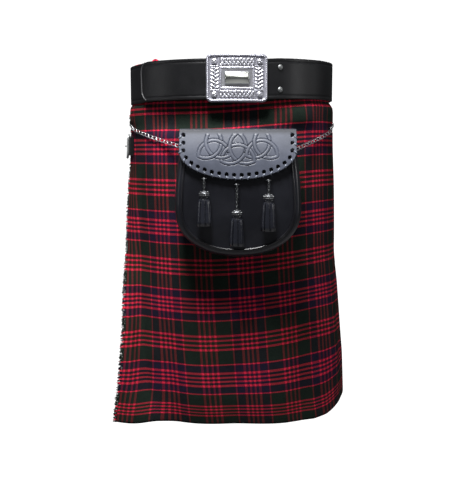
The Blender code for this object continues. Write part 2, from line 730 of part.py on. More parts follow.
make_over_apron(tartan, fringe_wool)
make_pleats_and_under_apron(tartan)
make_waistband(tartan)
make_belt(belt_leather, polished)
make_buckle_plate(polished)
make_hip_strap(belt_leather, polished)
make_pouch(pouch_leather)
make_flap(pouch_leather, thong_leather)
make_chains(polished, pouch_leather)
make_tassels(dark_silver, pouch_leather)
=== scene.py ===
"""A tartan kilt in its worn shape, with its belt and sporran, on a plain pale floor.

Every length in the tables is in millimetres, and the meshes are made in metres. The origin is
the middle of the waist at mid-belt, the front faces -Y and +X is the wearer's left.
"""

import math
from collections import namedtuple
from functools import lru_cache, partialmethod

import bmesh
import bpy
import numpy as np
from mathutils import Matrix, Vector


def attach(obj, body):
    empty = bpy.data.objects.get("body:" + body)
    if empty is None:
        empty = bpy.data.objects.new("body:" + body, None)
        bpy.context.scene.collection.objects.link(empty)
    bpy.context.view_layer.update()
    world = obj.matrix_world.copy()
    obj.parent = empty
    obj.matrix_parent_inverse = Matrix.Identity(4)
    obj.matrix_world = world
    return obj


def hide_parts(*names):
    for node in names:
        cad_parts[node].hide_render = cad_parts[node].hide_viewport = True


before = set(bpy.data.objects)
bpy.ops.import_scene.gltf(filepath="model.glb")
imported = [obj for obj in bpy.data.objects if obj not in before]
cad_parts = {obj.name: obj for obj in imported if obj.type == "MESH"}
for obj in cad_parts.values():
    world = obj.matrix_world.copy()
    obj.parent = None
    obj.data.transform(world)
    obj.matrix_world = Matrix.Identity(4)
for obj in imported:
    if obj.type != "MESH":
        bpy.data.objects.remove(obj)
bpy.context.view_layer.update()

MM = 0.001


def table(columns, *rows):
    row_type = namedtuple("Row", columns)
    return [row_type(*row) for row in rows]


# ---------- the worn body
# The hollow that the cloth keeps: an oval at each height, from the waist down to the hem.
# A place on it is an arc along the cloth's face from the front centre, positive to the
# wearer's left, and a distance out from that face.
BODY = table(
    "height half_width front back layer_pitch",
    (33, 159.3, 130.3, 131, 1.8), (-30, 159.3, 130.3, 131, 1.8), (-33, 165.6, 130.3, 134.6, 1.8),
    (-42, 167, 130.6, 136, 1.8), (-62, 167, 132, 137, 1.8), (-98, 167.2, 138, 141, 1.8),
    (-124, 168.1, 139.3, 143.5, 1.8), (-160, 169.3, 141, 147, 1.8), (-270, 171.2, 144, 153, 1.9),
    (-320, 177.5, 145.5, 156, 2.0), (-372, 182, 146.5, 158, 2.1), (-450, 188.2, 148.3, 162, 2.3),
    (-525, 191, 150, 165, 2.6),
)
BLEND = np.array([-9, -4, 0, 4, 9])  # an oval is the mean of the ones at these heights about it
SHARP_ABOVE, SHARP_BLEND = -60, 0.45  # with a sharper turn under the belt
# Soft folds that every layer shares. Each runs from its top, where it is turned to top_turn,
# down to its foot; it is deepest at the foot, and depth is positive outwards.
FOLDS = table(
    "top foot top_turn foot_turn width depth",
    (-80, -200, -57, -58, 8, -2.4), (-290, -525, -56, -37, 8, -2.4), (-270, -470, -33, -29, 15, -1.8),
    (-300, -560, -20, -16, 34, 3.6), (-270, -540, -4, 4, 28, -3.2), (-330, -560, 19, 25, 34, 3.2),
    (-230, -520, 44, 38, 24, -3.6), (-280, -560, 66, 60, 26, 3.2), (-180, -420, 77, 73, 12, -2.0),
    (-60, -230, 78, 84, 24, 1.2), (-60, -190, 24, 34, 20, 0.9), (-26, -58, 35, 38, 32, 6.0),
    (-26, -66, -30, -32, 60, -7.0), (-26, -62, 2, 2, 42, -5.0), (-58, -68, -92, -84, 34, -5.2),
    (-68, -80, -88, -84, 24, -2.4), (-60, -70, 92, 86, 34, -4.8), (-250, -560, 108, 113, 30, 3.0),
    (-320, -560, 135, 131, 26, -2.6), (-210, -540, 156, 160, 34, 3.4), (-290, -560, 181, 178, 30, -3.0),
    (-240, -550, 204, 209, 36, 3.2), (-330, -560, 229, 226, 24, -2.4), (-260, -540, 250, 254, 30, 2.8),
)
FOLD_GONE = 60  # a fold has died out this far below its foot
# The hem turns in under the front's middle, and hangs a little unevenly: its rise at places
# round it, which grows downwards.
HEM_CURL, HEM_CURL_REACH, HEM_CURL_FROM, HEM_CURL_DOWN = 5.5, 105, -478, 47
HEM_SWAY_FROM, HEM_SWAY_DOWN = -380, 145
HEM_SWAY_TURNS = (0, 30, 44, 53, 62, 72, 82, 96, 118, 150, 200, 240, 290, 359.99)
HEM_SWAY = (0, -2, -4.5, -1.5, 7.5, 13.5, 15.5, 16, 7, 0, 3, -2, 0, 0)


def smooth_step(share):
    share = np.clip(share, 0, 1)
    return share * share * (3 - 2 * share)


def beside(*columns):
    """Rows of points from their columns."""
    return np.stack(np.broadcast_arrays(*columns), -1)


def at_height(rows, column, height):
    """A column of a table, read between its rows."""
    return np.interp(-height, [-row.height for row in rows], [getattr(row, column) for row in rows])


def run_of(line):
    """How far along a line each of its points lies."""
    return np.concatenate([[0], np.cumsum(np.linalg.norm(np.diff(line, axis=0), axis=1))])


def read_along(line, places):
    """The points at these places along a line, given as distances or as a count of even ones."""
    run = run_of(line)
    if isinstance(places, int):
        places = np.linspace(0, run[-1], places)
    return beside(*(np.interp(places, run, column) for column in np.transpose(line)))


class Level:
    """The body's oval at one height."""

    turns = np.linspace(0, 2 * math.pi, 4 * 360 + 1)

    def __init__(self, height):
        self.height = height
        near = height + BLEND * (SHARP_BLEND if height > SHARP_ABOVE else 1)
        columns = ("half_width", "front", "back", "layer_pitch")
        width, front, back, self.pitch = (np.mean(at_height(BODY, column, near)) for column in columns)
        depth = np.where(np.cos(self.turns) > 0, front, back)
        self.line = beside(width * np.sin(self.turns), -depth * np.cos(self.turns))
        self.along = run_of(self.line)
        self.length = self.along[-1]

    def arc(self, turn):
        """How far along the face a turn in degrees lies."""
        laps, rest = divmod(math.radians(turn), 2 * math.pi)
        return np.interp(rest, self.turns, self.along) + laps * self.length

    def off(self, arcs, middle=0):
        """How far arcs lie from one of them, the short way round."""
        return (arcs - middle + self.length / 2) % self.length - self.length / 2

    def fold_depth(self, arcs):
        """How far the shared folds push the cloth out at these arcs."""
        total = np.zeros(len(arcs))
        for fold in FOLDS:
            down = (fold.top - self.height) / (fold.top - fold.foot)
            if down > 0 and self.height >= fold.foot - FOLD_GONE:
                fade = 1 - smooth_step((down - 1) * 2)
                middle = self.arc(fold.top_turn + (fold.foot_turn - fold.top_turn) * min(down, 1))
                bump = np.exp(-((self.off(arcs, middle) / fold.width) ** 2))
                total += fold.depth * fade * smooth_step(down * 1.2) * bump
        curl = (max(HEM_CURL_FROM - self.height, 0) / HEM_CURL_DOWN) ** 1.6
        return total - HEM_CURL * curl * np.exp(-((self.off(arcs) / HEM_CURL_REACH) ** 4))

    def sway(self, arcs):
        rise = np.interp(arcs % self.length, [self.arc(turn) for turn in HEM_SWAY_TURNS], HEM_SWAY)
        return rise * smooth_step((HEM_SWAY_FROM - self.height) / HEM_SWAY_DOWN)

    def places(self, arcs, outs):
        """Points in millimetres at these arcs and distances out, folds included."""
        arcs = np.asarray(arcs, float)
        outs = np.asarray(outs, float) + self.fold_depth(arcs)
        before, here, after = (
            np.stack([np.interp((arcs + shift) % self.length, self.along, column) for column in self.line.T])
            for shift in (-0.5, 0, 0.5)
        )
        across, back = after[1] - before[1], before[0] - after[0]
        outward = np.stack([across, back]) / np.hypot(across, back)
        return beside(*(here + outward * outs), self.height + self.sway(arcs))

    def standing(self, arc, out):
        """A point at an arc and a distance out, and the way out from it."""
        near, far = self.places([arc, arc], [out, out + 1])
        return near, far - near


def levels(top, bottom, step=3.6):
    return [Level(height) for height in np.linspace(top, bottom, int((top - bottom) / step) + 1)]


# ---------- tartan cloth
# Wool twill in a red, green and navy check, woven so that the weft shows more than the warp.
# The check alternates two groups of four red lines, one on green and one on navy, with a
# single red line where the grounds meet, and mirrors about the middle of each group.
GREEN_WOOL = (0.0098, 0.0160, 0.0120)
NAVY_WOOL = (0.0125, 0.0090, 0.0235)
RED_WOOL = (0.62, 0.0180, 0.0500)
HALF_CHECK = 58.7  # from the middle of a green group to the middle of a navy one, in the weft
WARP_HALF_CHECK = 63.6
# Where each red line starts and ends from the middle of a green group, and what follows it.
CHECK_LINES = (
    (2.25, 4.85, GREEN_WOOL), (8.95, 12.35, GREEN_WOOL), (33.85, 35.85, NAVY_WOOL),
    (46.95, 50.35, NAVY_WOOL), (54.05, 56.65, NAVY_WOOL),
)
WEFT_SHARE, WARP_SHARE = 0.37, 0.13  # what shows of each yarn; the rest is the darker of the two
TWILL_PITCH, TWILL_RELIEF = 1.7, 0.3
WEFT_PACE, WEFT_GROWTH, WEFT_START = 0.015554, 2.41e-6, 0.5763  # half checks down from mid-belt
WEFT_CURL, WEFT_CURL_FROM, WEFT_CURL_DOWN = 0.125, 465, 39  # the hem's curl uses more cloth
CLIMB, CLIMB_FROM, CLIMB_RUN = 14, -60, 230  # the check climbs to the wearer's left, then falls
FALL_FROM, FALL_RUN, CLIMB_LOST, CLIMB_LOST_FROM, CLIMB_LOST_DOWN = 200, 330, 0.9, 360, 170
WARP_START, WARP_LEAN, WARP_SQUEEZE, WARP_SQUEEZE_TO, WARP_SQUEEZE_REACH = 49.6, 25, 8, 170, 150
CLOTH, CLOTH_TOP, HEM, CUT_HEIGHT = 1.1, 28.8, -525, 0.556  # the cut height is in metres


class Signal:
    """A node's socket. Arithmetic on it adds Math nodes."""

    def __init__(self, nodes, socket):
        self.nodes, self.socket = nodes, socket

    def join(self, operation, other=1.0):
        return self.nodes.node("ShaderNodeMath", {0: self, 1: other}, operation=operation)

    __add__ = partialmethod(join, "ADD")
    __sub__ = partialmethod(join, "SUBTRACT")
    __mul__ = partialmethod(join, "MULTIPLY")
    __truediv__ = partialmethod(join, "DIVIDE")
    __mod__ = partialmethod(join, "FLOORED_MODULO")
    there_and_back = partialmethod(join, "PINGPONG")  # from 0 to 1 and back to 0, over and over

    def between(self, low, high):
        """0 below low, 1 above high, and smooth from one to the other."""
        limits = {0: self, 1: low, 2: high, 3: 0.0, 4: 1.0}
        return self.nodes.node("ShaderNodeMapRange", limits, interpolation_type="SMOOTHSTEP")


class Nodes:
    """A node tree, with one way to add a node: its type, its sockets, then its settings."""

    def __init__(self, tree):
        self.tree = tree

    def node(self, kind, inputs=None, output=0, **settings):
        made = self.tree.nodes.new(kind)
        for name, value in settings.items():
            setattr(made, name, value)
        for socket, value in (inputs or {}).items():
            if isinstance(value, Signal):
                self.tree.links.new(value.socket, made.inputs[socket])
            else:
                made.inputs[socket].default_value = value
        return Signal(self, made.outputs[output]) if made.outputs else None

    def three_of(self, value):
        return self.node("ShaderNodeCombineXYZ", dict.fromkeys(range(3), value))


class Finish(Nodes):
    """One material. Constants go straight onto its shader's sockets."""

    def __init__(self, name, **constants):
        self.material = bpy.data.materials.new(name)
        self.material.use_nodes = True
        super().__init__(self.material.node_tree)
        self.shader = self.tree.nodes["Principled BSDF"]
        for socket, value in constants.items():
            self.shader.inputs[socket.replace("_", " ")].default_value = value

    def mix(self, factor, a, b, blend="MIX"):
        a, b = ((*value, 1) if isinstance(value, tuple) else value for value in (a, b))
        return self.node("ShaderNodeMix", {0: factor, 6: a, 7: b}, 2, data_type="RGBA", blend_type=blend)

    def place(self):
        return self.node("ShaderNodeTexCoord", output="Object")

    def split(self, vector):
        return [self.node("ShaderNodeSeparateXYZ", {0: vector}, output) for output in range(3)]

    def noise(self, scale, detail=2.0, roughness=0.5):
        inputs = {"Vector": self.place(), "Scale": scale, "Detail": detail, "Roughness": roughness}
        return self.node("ShaderNodeTexNoise", inputs)

    def mark(self, name):
        """A value written on the mesh's points."""
        return self.node("ShaderNodeAttribute", output="Fac", attribute_name=name)

    def feed(self, colour, rough=None, relief=None, distance=0.0, strength=1.0):
        """The material, once its signals reach its shader. Relief bumps the surface."""
        signals = {"Base Color": colour, "Roughness": rough}
        if relief:
            inputs = {"Height": relief, "Distance": distance, "Strength": strength}
            signals["Normal"] = self.node("ShaderNodeBump", inputs)
        for socket, signal in signals.items():
            if signal:
                self.tree.links.new(signal.socket, self.shader.inputs[socket])
        return self.material


def check_colour(finish, position):
    """The yarn's colour at a position in half checks, even over green and odd over navy."""
    colour = finish.node("ShaderNodeValToRGB", {0: position.there_and_back()})
    ramp = colour.socket.node.color_ramp
    ramp.interpolation = "CONSTANT"
    ramp.elements.remove(ramp.elements[-1])
    ramp.elements[0].position, ramp.elements[0].color = 0, (*GREEN_WOOL, 1)
    for start, end, wool in CHECK_LINES:
        ramp.elements.new(start / HALF_CHECK).color = (*RED_WOOL, 1)
        ramp.elements.new(end / HALF_CHECK).color = (*wool, 1)
    return colour


def make_tartan():
    finish = Finish("tartan twill", Specular_IOR_Level=0.08)
    across, down, _ = finish.split(finish.node("ShaderNodeUVMap", uv_map="weave"))
    warp, weft = check_colour(finish, across), check_colour(finish, down)
    twill = ((across * WARP_HALF_CHECK + down * HALF_CHECK) / TWILL_PITCH).there_and_back()
    yarn_top = twill.between(0.1, 0.8) * TWILL_RELIEF
    darker = finish.mix(1.0, warp, weft, "DARKEN")
    woven = finish.mix(yarn_top + (WEFT_SHARE - TWILL_RELIEF / 2), darker, weft)
    woven = finish.mix(1.0, woven, finish.mix(WARP_SHARE, darker, warp), "LIGHTEN")
    wear = finish.noise(30.0, 4.0, 0.6).between(0.25, 0.75) * 0.24 + 0.86
    slub = finish.noise(420.0, 2.0, 0.6).between(0.2, 0.8) * 0.3 + 0.85
    woven = finish.mix(1.0, woven, finish.three_of(wear * slub), "MULTIPLY")
    rough = finish.noise(900.0) * 0.14 + 0.78
    nap = finish.noise(1500.0, 3.0, 0.6)
    return finish.feed(woven, rough, twill * 0.7 + nap * 0.6, 0.0004, 0.6)


TARTAN = make_tartan()


def weft_position(height):
    """Half checks down the cloth at a height."""
    down = -np.asarray(height, float)
    curl = WEFT_CURL * (np.maximum(down - WEFT_CURL_FROM, 0) / WEFT_CURL_DOWN) ** 2
    return down * (WEFT_PACE + WEFT_GROWTH * down) - WEFT_START + curl


def weft_at(level, arcs):
    """The same round a level. The cloth is wrapped so that it climbs to the wearer's left."""
    fallen = smooth_step((arcs - FALL_FROM) / FALL_RUN)
    climb = CLIMB * smooth_step((arcs - CLIMB_FROM) / CLIMB_RUN) * (1 - fallen)
    lost = CLIMB_LOST * smooth_step((-level.height - CLIMB_LOST_FROM) / CLIMB_LOST_DOWN)
    return weft_position(level.height - climb * (1 - lost))


def warp_position(along, height):
    """Half checks round the cloth. The warp leans to the wearer's left towards the hem."""
    flat = np.asarray(along, float) - WARP_LEAN * (height / HEM) ** 2
    share = np.minimum(np.abs(flat), WARP_SQUEEZE_TO) / WARP_SQUEEZE_REACH
    return (flat - WARP_SQUEEZE * np.sign(flat) * share**3 + WARP_START) / WARP_HALF_CHECK


def linked(name, data):
    made = bpy.data.objects.new(name, data)
    bpy.context.scene.collection.objects.link(made)
    return made


def finished(name, data, look, slot, *nodes, body="kilt", wall=0):
    """A piece at the origin that rides on a body and stands for solids. A sheet is given its wall."""
    data.name = name
    if not data.materials:
        data.materials.append(look)
    made = linked(name, data)
    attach(made, body)
    if nodes:
        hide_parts(*nodes)
    if wall:
        modifier = made.modifiers.new("wall", "SOLIDIFY")
        modifier.thickness, modifier.offset = wall * MM, 0
        modifier.use_even_offset = modifier.use_quality_normals = True
    return made


def grid_faces(rows, columns, rows_closed=False, columns_closed=False):
    """Quads over a grid of points numbered row by row."""
    index = np.arange(rows * columns).reshape(rows, columns)
    index = np.pad(index, ((0, int(rows_closed)), (0, int(columns_closed))), "wrap")
    corners = [index[:-1, :-1], index[:-1, 1:], index[1:, 1:], index[1:, :-1]]
    return np.stack(corners, -1).reshape(-1, 4).tolist()


def grid_mesh(points, uvs=None):
    """A mesh of quads from rows of points, with a weave UV map where one is given."""
    points = np.asarray(points, float)
    faces = grid_faces(*points.shape[:2])
    data = bpy.data.meshes.new("grid")
    data.from_pydata((points.reshape(-1, 3) * MM).tolist(), [], faces)
    if uvs is not None:
        layer = data.uv_layers.new(name="weave")
        layer.data.foreach_set("uv", np.asarray(uvs, float).reshape(-1, 2)[np.ravel(faces)].ravel())
    data.shade_smooth()
    return data


def cloth(node, rows, wall=CLOTH):
    """A sheet of tartan for a solid, from (points, warp places, weft places) rows, top row first."""
    points = [row[0] for row in rows[::-1]]
    uvs = [beside(*row[1:]) for row in rows[::-1]]
    return finished(node + "_cloth", grid_mesh(points, uvs), TARTAN, "tartan", node, wall=wall)


# ---------- over-apron
# The flat outer front: one width of the tartan, its pressed fold at the wearer's left turned
# back inside, its fringed selvedge free at the wearer's right, where the hem swings forward.
SWING = table(
    "height leave_turn valley_turn valley_out ridge_turn ridge_out edge_turn edge_out",
    (33, -50, -61, 0, -71, 0, -83, 0), (-31, -50, -61, 0, -71, 0, -83, 0),
    (-46, -48, -60, 0, -70, 0, -81, 0), (-98, -46, -57, 0, -66, 0, -77.5, 0),
    (-124, -45, -56, 0, -65, 0, -76, 0), (-160, -43, -55, 0, -63, 1.2, -73.8, 2.8),
    (-270, -40, -56, 0.4, -60, 9.2, -64.5, 13.7), (-320, -38, -53, 2, -56, 15, -58.2, 21.4),
    (-372, -35, -49, 4.6, -51.2, 23, -52.4, 31), (-450, -30, -43.6, 12, -47, 34, -49.4, 41.9),
    (-525, -25, -34, 11, -41.8, 39.4, -49.7, 52),
)
SWING_BLEND = np.array([-14, -7, 0, 7, 14])
SETTLE_TURN = 12  # past where it leaves the body, the apron lies flat again
CORNER_TURN, APRON_RETURN, RETURN_COLUMNS = 92, 30, 9
FREE_COLUMNS, FLAT_COLUMNS, APRON_COLUMNS = 80, 120, 150
EDGE_WARP = -192.0  # the selvedge's place in the check, along the cloth from the front centre
EDGE_FADE = 60  # over this width the check turns from the selvedge's line to the body's
FOLD_TAKES = 2  # the cloth that the pressed fold's turn takes up


def curve_through(knots, shares):
    """Points on the smooth curve through the knots."""
    knots = np.asarray(knots, float)
    knots = np.vstack([2 * knots[0] - knots[1], knots, 2 * knots[-1] - knots[-2]])
    at = np.asarray(shares) * (len(knots) - 3)
    i = np.minimum(at.astype(int), len(knots) - 4)
    t = (at - i)[:, None]
    a, b, c, d = (knots[i + k] for k in range(4))
    return 0.5 * (2 * b + (c - a) * t + (2 * a - 5 * b + 4 * c - d) * t**2 + (3 * b - a - 3 * c + d) * t**3)


def swing_at(column, height):
    return np.mean(at_height(SWING, column, height + SWING_BLEND))


def apron_line(level, leave):
    """(points, distance from the free edge, distance from the front centre) across the apron."""
    names = ("edge", "ridge", "valley")
    knots = [[swing_at(name + kind, level.height) for kind in ("_turn", "_out")] for name in names]
    settled = leave + SETTLE_TURN
    free = curve_through([*knots, (leave, 0), (settled, 0)], np.linspace(0, 1, FREE_COLUMNS))
    turns = np.concatenate([free[:, 0], np.linspace(settled, CORNER_TURN, FLAT_COLUMNS)[1:]])
    outs = np.concatenate([np.maximum(free[:, 1], 0), np.zeros(FLAT_COLUMNS - 1)])
    arcs = np.array([level.arc(turn) for turn in turns])
    line = level.places(arcs, outs - CLOTH / 2)
    run = run_of(line)
    even = np.linspace(0, run[-1], APRON_COLUMNS)
    return read_along(line, even), even, even - np.interp(0, arcs, run)


rows, edge_line = [], []
for level in levels(CLOTH_TOP, HEM):
    leave = swing_at("leave_turn", level.height)
    points, from_edge, from_centre = apron_line(level, leave)
    turned_back = np.linspace(0, APRON_RETURN, RETURN_COLUMNS)
    return_arcs = level.arc(CORNER_TURN) - turned_back
    folded = level.places(return_arcs, np.full(RETURN_COLUMNS, -CLOTH / 2 - level.pitch))
    free_share = smooth_step((level.arc(leave) - from_centre) / EDGE_FADE)
    near_edge = (EDGE_WARP + from_edge + WARP_START) / WARP_HALF_CHECK
    warp = warp_position(from_centre, level.height) * (1 - free_share) + near_edge * free_share
    warp = np.concatenate([warp, warp[-1] + (turned_back + FOLD_TAKES) / WARP_HALF_CHECK])
    weft = weft_at(level, np.concatenate([from_centre, return_arcs]))
    rows.append((np.vstack([points, folded]), warp, weft))
    edge_line.append((points[0], points[0] - points[1], level.height))
over_apron = cloth("over_apron", rows)

# ---------- pleats
# The back and sides: knife pleats, all turned one way, each folded deep enough inside that
# the check carries on unbroken from one visible face to the next. Four widths are joined at
# inner folds. The pleats are pressed sharp and open slightly towards the hem.
LAST_PLEAT_TURN, PLEATS, FOLD_SHARE, PLEAT_WIDTH = 260, 22, 0.8, 0.061  # the width is in metres
PLEATS_IN_PANEL = {"pleats_left": 5, "pleats_back_left": 6, "pleats_back_right": 6, "pleats_right": 5}
# How far each tip strays at the hem, in shares of SPREAD.
PLEAT_SPREAD = (0, 5, -3, 6, -5, 2, 4, -6, 3, 5, -2, -5, 6, 1, -4, 5, -3, 4, -6, 3, 2, -4, 0)
SPREAD, SPREAD_FROM, SPREAD_DOWN = 0.45, -120, 400
# Of a hidden layer, a face, the turn at its tip, the return and the inner turn: the points in
# it, and where in the check it starts and ends past its own arc. A fold holds one whole check.
SEGMENTS = table("points start end", (5, 1, 2), (7, 0, 0), (2, 0, 0), (5, 0, 0.5), (2, 0.5, 1))


class Pleats:
    """Where the folds lie at one height, as (arc, out) knots."""

    def __init__(self, level):
        self.corner = level.arc(CORNER_TURN)
        self.face = (level.arc(LAST_PLEAT_TURN) - self.corner) / PLEATS
        self.fold, self.pitch = FOLD_SHARE * self.face, level.pitch
        self.top, self.under = -CLOTH / 2, -CLOTH / 2 - 2 * level.pitch
        self.spread = SPREAD * smooth_step((SPREAD_FROM - level.height) / SPREAD_DOWN)

    def tip(self, number):
        return self.corner + number * self.face + self.spread * PLEAT_SPREAD[number]

    def third_layer(self, number):
        if number == 0:
            return [(self.corner - APRON_RETURN, self.under), (self.corner, self.under)]
        tip, inner = self.tip(number), self.top - 2 * self.pitch * (FOLD_SHARE + 1)
        return [(tip - self.fold, inner), (tip, self.under)]

    def face_and_return(self, number):
        tip, inner = self.tip(number), self.top - self.pitch * (2 * FOLD_SHARE + 1)
        return [(tip, self.top), (tip, self.top - self.pitch), (tip - self.fold, inner)]


first = 1
for node, count in PLEATS_IN_PANEL.items():
    kinds = [SEGMENTS[i % len(SEGMENTS)] for i in range(5 * count - 1)]
    segment, share, check = [], [], []
    for i, kind in enumerate(kinds):
        steps = 4 if i == 0 else kind.points
        shares = np.linspace(0, 1, steps, endpoint=False)
        if i == len(kinds) - 1:
            shares = np.append(shares, 1)
        segment += [i] * len(shares)
        share += list(shares)
        check += list(kind.start + (kind.end - kind.start) * shares)
    segment, share = np.array(segment), np.array(share)[:, None]
    rows = []
    for level in levels(CLOTH_TOP, HEM, 4.4):
        plan = Pleats(level)
        layers = ((plan.third_layer(k - 1), plan.face_and_return(k)) for k in range(first, first + count))
        knots = np.array([knot for pair in layers for layer in pair for knot in layer])
        arcs, outs = (knots[segment] + (knots[segment + 1] - knots[segment]) * share).T
        warp = warp_position(arcs, level.height) + np.array(check)
        rows.append((level.places(arcs, outs), warp, weft_at(level, arcs)))
    piece = cloth(node, rows)
    first += count

# ---------- under-apron
# The inner front width, plain and flat. It starts under the last pleat, passes behind the
# over-apron and stops just short of the over-apron's turned-back edge.
UNDER_END_GAP, UNDER_COLUMNS = 8, 110
rows = []
for level in levels(CLOTH_TOP, HEM, 5):
    plan = Pleats(level)
    (start, start_out), (tip, out) = plan.third_layer(PLEATS)
    end = level.length + plan.corner - APRON_RETURN - UNDER_END_GAP
    arcs = np.concatenate([np.linspace(start, tip, 5)[:-1], np.linspace(tip, end, UNDER_COLUMNS)])
    outs = np.concatenate([np.linspace(start_out, out, 5)[:-1], np.full(UNDER_COLUMNS, out)])
    turned = arcs - level.length
    rows.append((level.places(arcs, outs), warp_position(turned, level.height), weft_at(level, turned)))
under_apron = cloth("under_apron", rows)

# ---------- apron fringe
# The over-apron's free side, where the last warp yarns are drawn out and the weft yarns stand
# past the cloth as a short fringe. Each tuft keeps its weft yarn's colour.
FRINGE_TOP, FRINGE_REACH, FRINGE_PITCH = -46, 5.4, 0.55
FRINGE_GLINT = (0.5, 0.5, 0.46)  # painted highlights: pale specks that stand in for glints on the yarn ends


def make_fringe_wool():
    finish = Finish("fringe yarn", Roughness=0.9, Specular_IOR_Level=0.08)
    height = finish.split(finish.place())[2] * -1000.0
    yarn = check_colour(finish, height * (height * WEFT_GROWTH + WEFT_PACE) - WEFT_START)
    # Pale specks mixed into the yarn colour: painted highlights
    glint = finish.noise(520.0, 1.0).between(0.6, 0.66)
    return finish.feed(finish.mix(glint * 0.5, yarn, FRINGE_GLINT))


def make_repeat_tree():
    """Sets a shape along a path. Its X follows the path and its Z the path's outward attribute."""
    sockets = {"Path": "Geometry", "Shape": "Object", "Look": "Material", "Seed": "Int"}
    floats = ("Pitch", "Turn", "Alternate Turn", "Unevenness", "Size Spread")
    tree = bpy.data.node_groups.new("repeat along a path", "GeometryNodeTree")
    tree.is_modifier = True
    for name in (*sockets, *floats):
        kind = "NodeSocket" + sockets.get(name, "Float")
        tree.interface.new_socket(name, in_out="INPUT", socket_type=kind)
    tree.interface.new_socket("Pieces", in_out="OUTPUT", socket_type="NodeSocketGeometry")
    nodes = Nodes(tree)
    path, shape, look, seed, pitch, turn, other_turn, unevenness, spread = (
        nodes.node("NodeGroupInput", output=name) for name in (*sockets, *floats)
    )

    def uneven(amount, number):
        limits = {2: amount * -1.0, 3: amount, "Seed": seed + float(number)}
        return nodes.node("FunctionNodeRandomValue", limits, 1, data_type="FLOAT")

    curve = nodes.node("GeometryNodeMeshToCurve", {"Mesh": path})
    points = nodes.node("GeometryNodeResampleCurve", {"Curve": curve, "Length": pitch}, mode="LENGTH")
    outward = nodes.node("GeometryNodeInputNamedAttribute", {"Name": "outward"}, data_type="FLOAT_VECTOR")
    align = "FunctionNodeAlignRotationToVector"
    facing = nodes.node(align, {"Vector": nodes.node("GeometryNodeInputTangent")}, axis="X")
    facing = nodes.node(align, {"Rotation": facing, "Vector": outward}, axis="Z", pivot_axis="X")
    turn = nodes.node("GeometryNodeInputIndex") % 2.0 * other_turn + turn
    angles = {0: turn + uneven(unevenness, 1), 1: uneven(unevenness, 2), 2: uneven(unevenness, 3)}
    own_turn = nodes.node("FunctionNodeEulerToRotation", {0: nodes.node("ShaderNodeCombineXYZ", angles)})
    turned = {"Rotation": facing, "Rotate By": own_turn}
    facing = nodes.node("FunctionNodeRotateRotation", turned, rotation_space="LOCAL")
    shape = nodes.node("GeometryNodeObjectInfo", {"Object": shape, "As Instance": True}, "Geometry")
    size = nodes.three_of(uneven(spread, 4) + 1.0)
    placed = {"Points": points, "Instance": shape, "Rotation": facing, "Scale": size}
    pieces = nodes.node("GeometryNodeInstanceOnPoints", placed)
    pieces = nodes.node("GeometryNodeRealizeInstances", {0: pieces})
    pieces = nodes.node("GeometryNodeSetMaterial", {"Geometry": pieces, "Material": look})
    nodes.node("NodeGroupOutput", {0: pieces})
    return tree


REPEAT = make_repeat_tree()


def repeated(line, outward, shape, look, pitch, **settings):
    """A plain mesh of a shape set along a line of points, with the way out at each point."""
    count = len(line)
    guide = bpy.data.meshes.new("guide")
    guide.from_pydata((np.asarray(line) * MM).tolist(), [(i, i + 1) for i in range(count - 1)], [])
    guide.attributes.new("outward", "FLOAT_VECTOR", "POINT").data.foreach_set("vector", np.ravel(outward))
    holder, sample = linked("guide", guide), linked("shape", shape)
    modifier = holder.modifiers.new("repeat", "NODES")
    modifier.node_group = REPEAT
    settings = {"Shape": sample, "Pitch": pitch * MM, "Look": look, **settings}
    for socket in REPEAT.interface.items_tree:
        name = socket.name.replace(" ", "_")
        if name in settings:
            modifier[socket.identifier] = settings[name]
    evaluated = holder.evaluated_get(bpy.context.evaluated_depsgraph_get())
    data = bpy.data.meshes.new_from_object(evaluated)
    for made in (holder, sample):
        bpy.data.objects.remove(made)
    return data


def stack_faces(rings, sides):
    """Faces round a stack of rings, and over its two ends."""
    last = (rings - 1) * sides
    ends = [tuple(range(sides))[::-1], tuple(range(last, last + sides))]
    return grid_faces(rings, sides, False, True) + ends


def around(count):
    return np.linspace(0, 2 * math.pi, count, endpoint=False)


def tube(path, radius, sides=10, closed=False):
    """(points, faces) of a rod along a path. The radius may be a list, one for each point."""
    path = np.asarray(path, float)
    ahead = np.roll(path, -1, 0) - np.roll(path, 1, 0)
    if not closed:
        ahead[0], ahead[-1] = path[1] - path[0], path[-1] - path[-2]
    ahead /= np.linalg.norm(ahead, axis=1)[:, None]
    side = np.cross(ahead[0], (0.31, 0.17, 0.93))
    points = []
    for place, direction, size in zip(path, ahead, np.broadcast_to(radius, len(path))):
        side = side - direction * side.dot(direction)
        side /= np.linalg.norm(side)
        other = np.cross(direction, side)
        points += [place + size * (math.cos(a) * side + math.sin(a) * other) for a in around(sides)]
    faces = grid_faces(len(path), sides, True, True) if closed else stack_faces(len(path), sides)
    return np.array(points), faces


def mesh_of(*parts, **marks):
    """One mesh from (points, faces) parts, faced outwards, with values marked on its points."""
    points, faces = [], []
    for part_points, part_faces in parts:
        first = len(points)
        points += (np.asarray(part_points, float) * MM).tolist()
        faces += [tuple(first + i for i in face) for face in part_faces]
    data = bpy.data.meshes.new("mesh")
    data.from_pydata(points, [], faces)
    for name, values in marks.items():
        data.attributes.new(name, "FLOAT", "POINT").data.foreach_set("value", np.ravel(values))
    work = bmesh.new()
    work.from_mesh(data)
    bmesh.ops.delete(work, geom=[point for point in work.verts if not point.link_faces], context="VERTS")
    bmesh.ops.recalc_face_normals(work, faces=work.faces)
    work.to_mesh(data)
    work.free()
    data.shade_smooth()
    return data


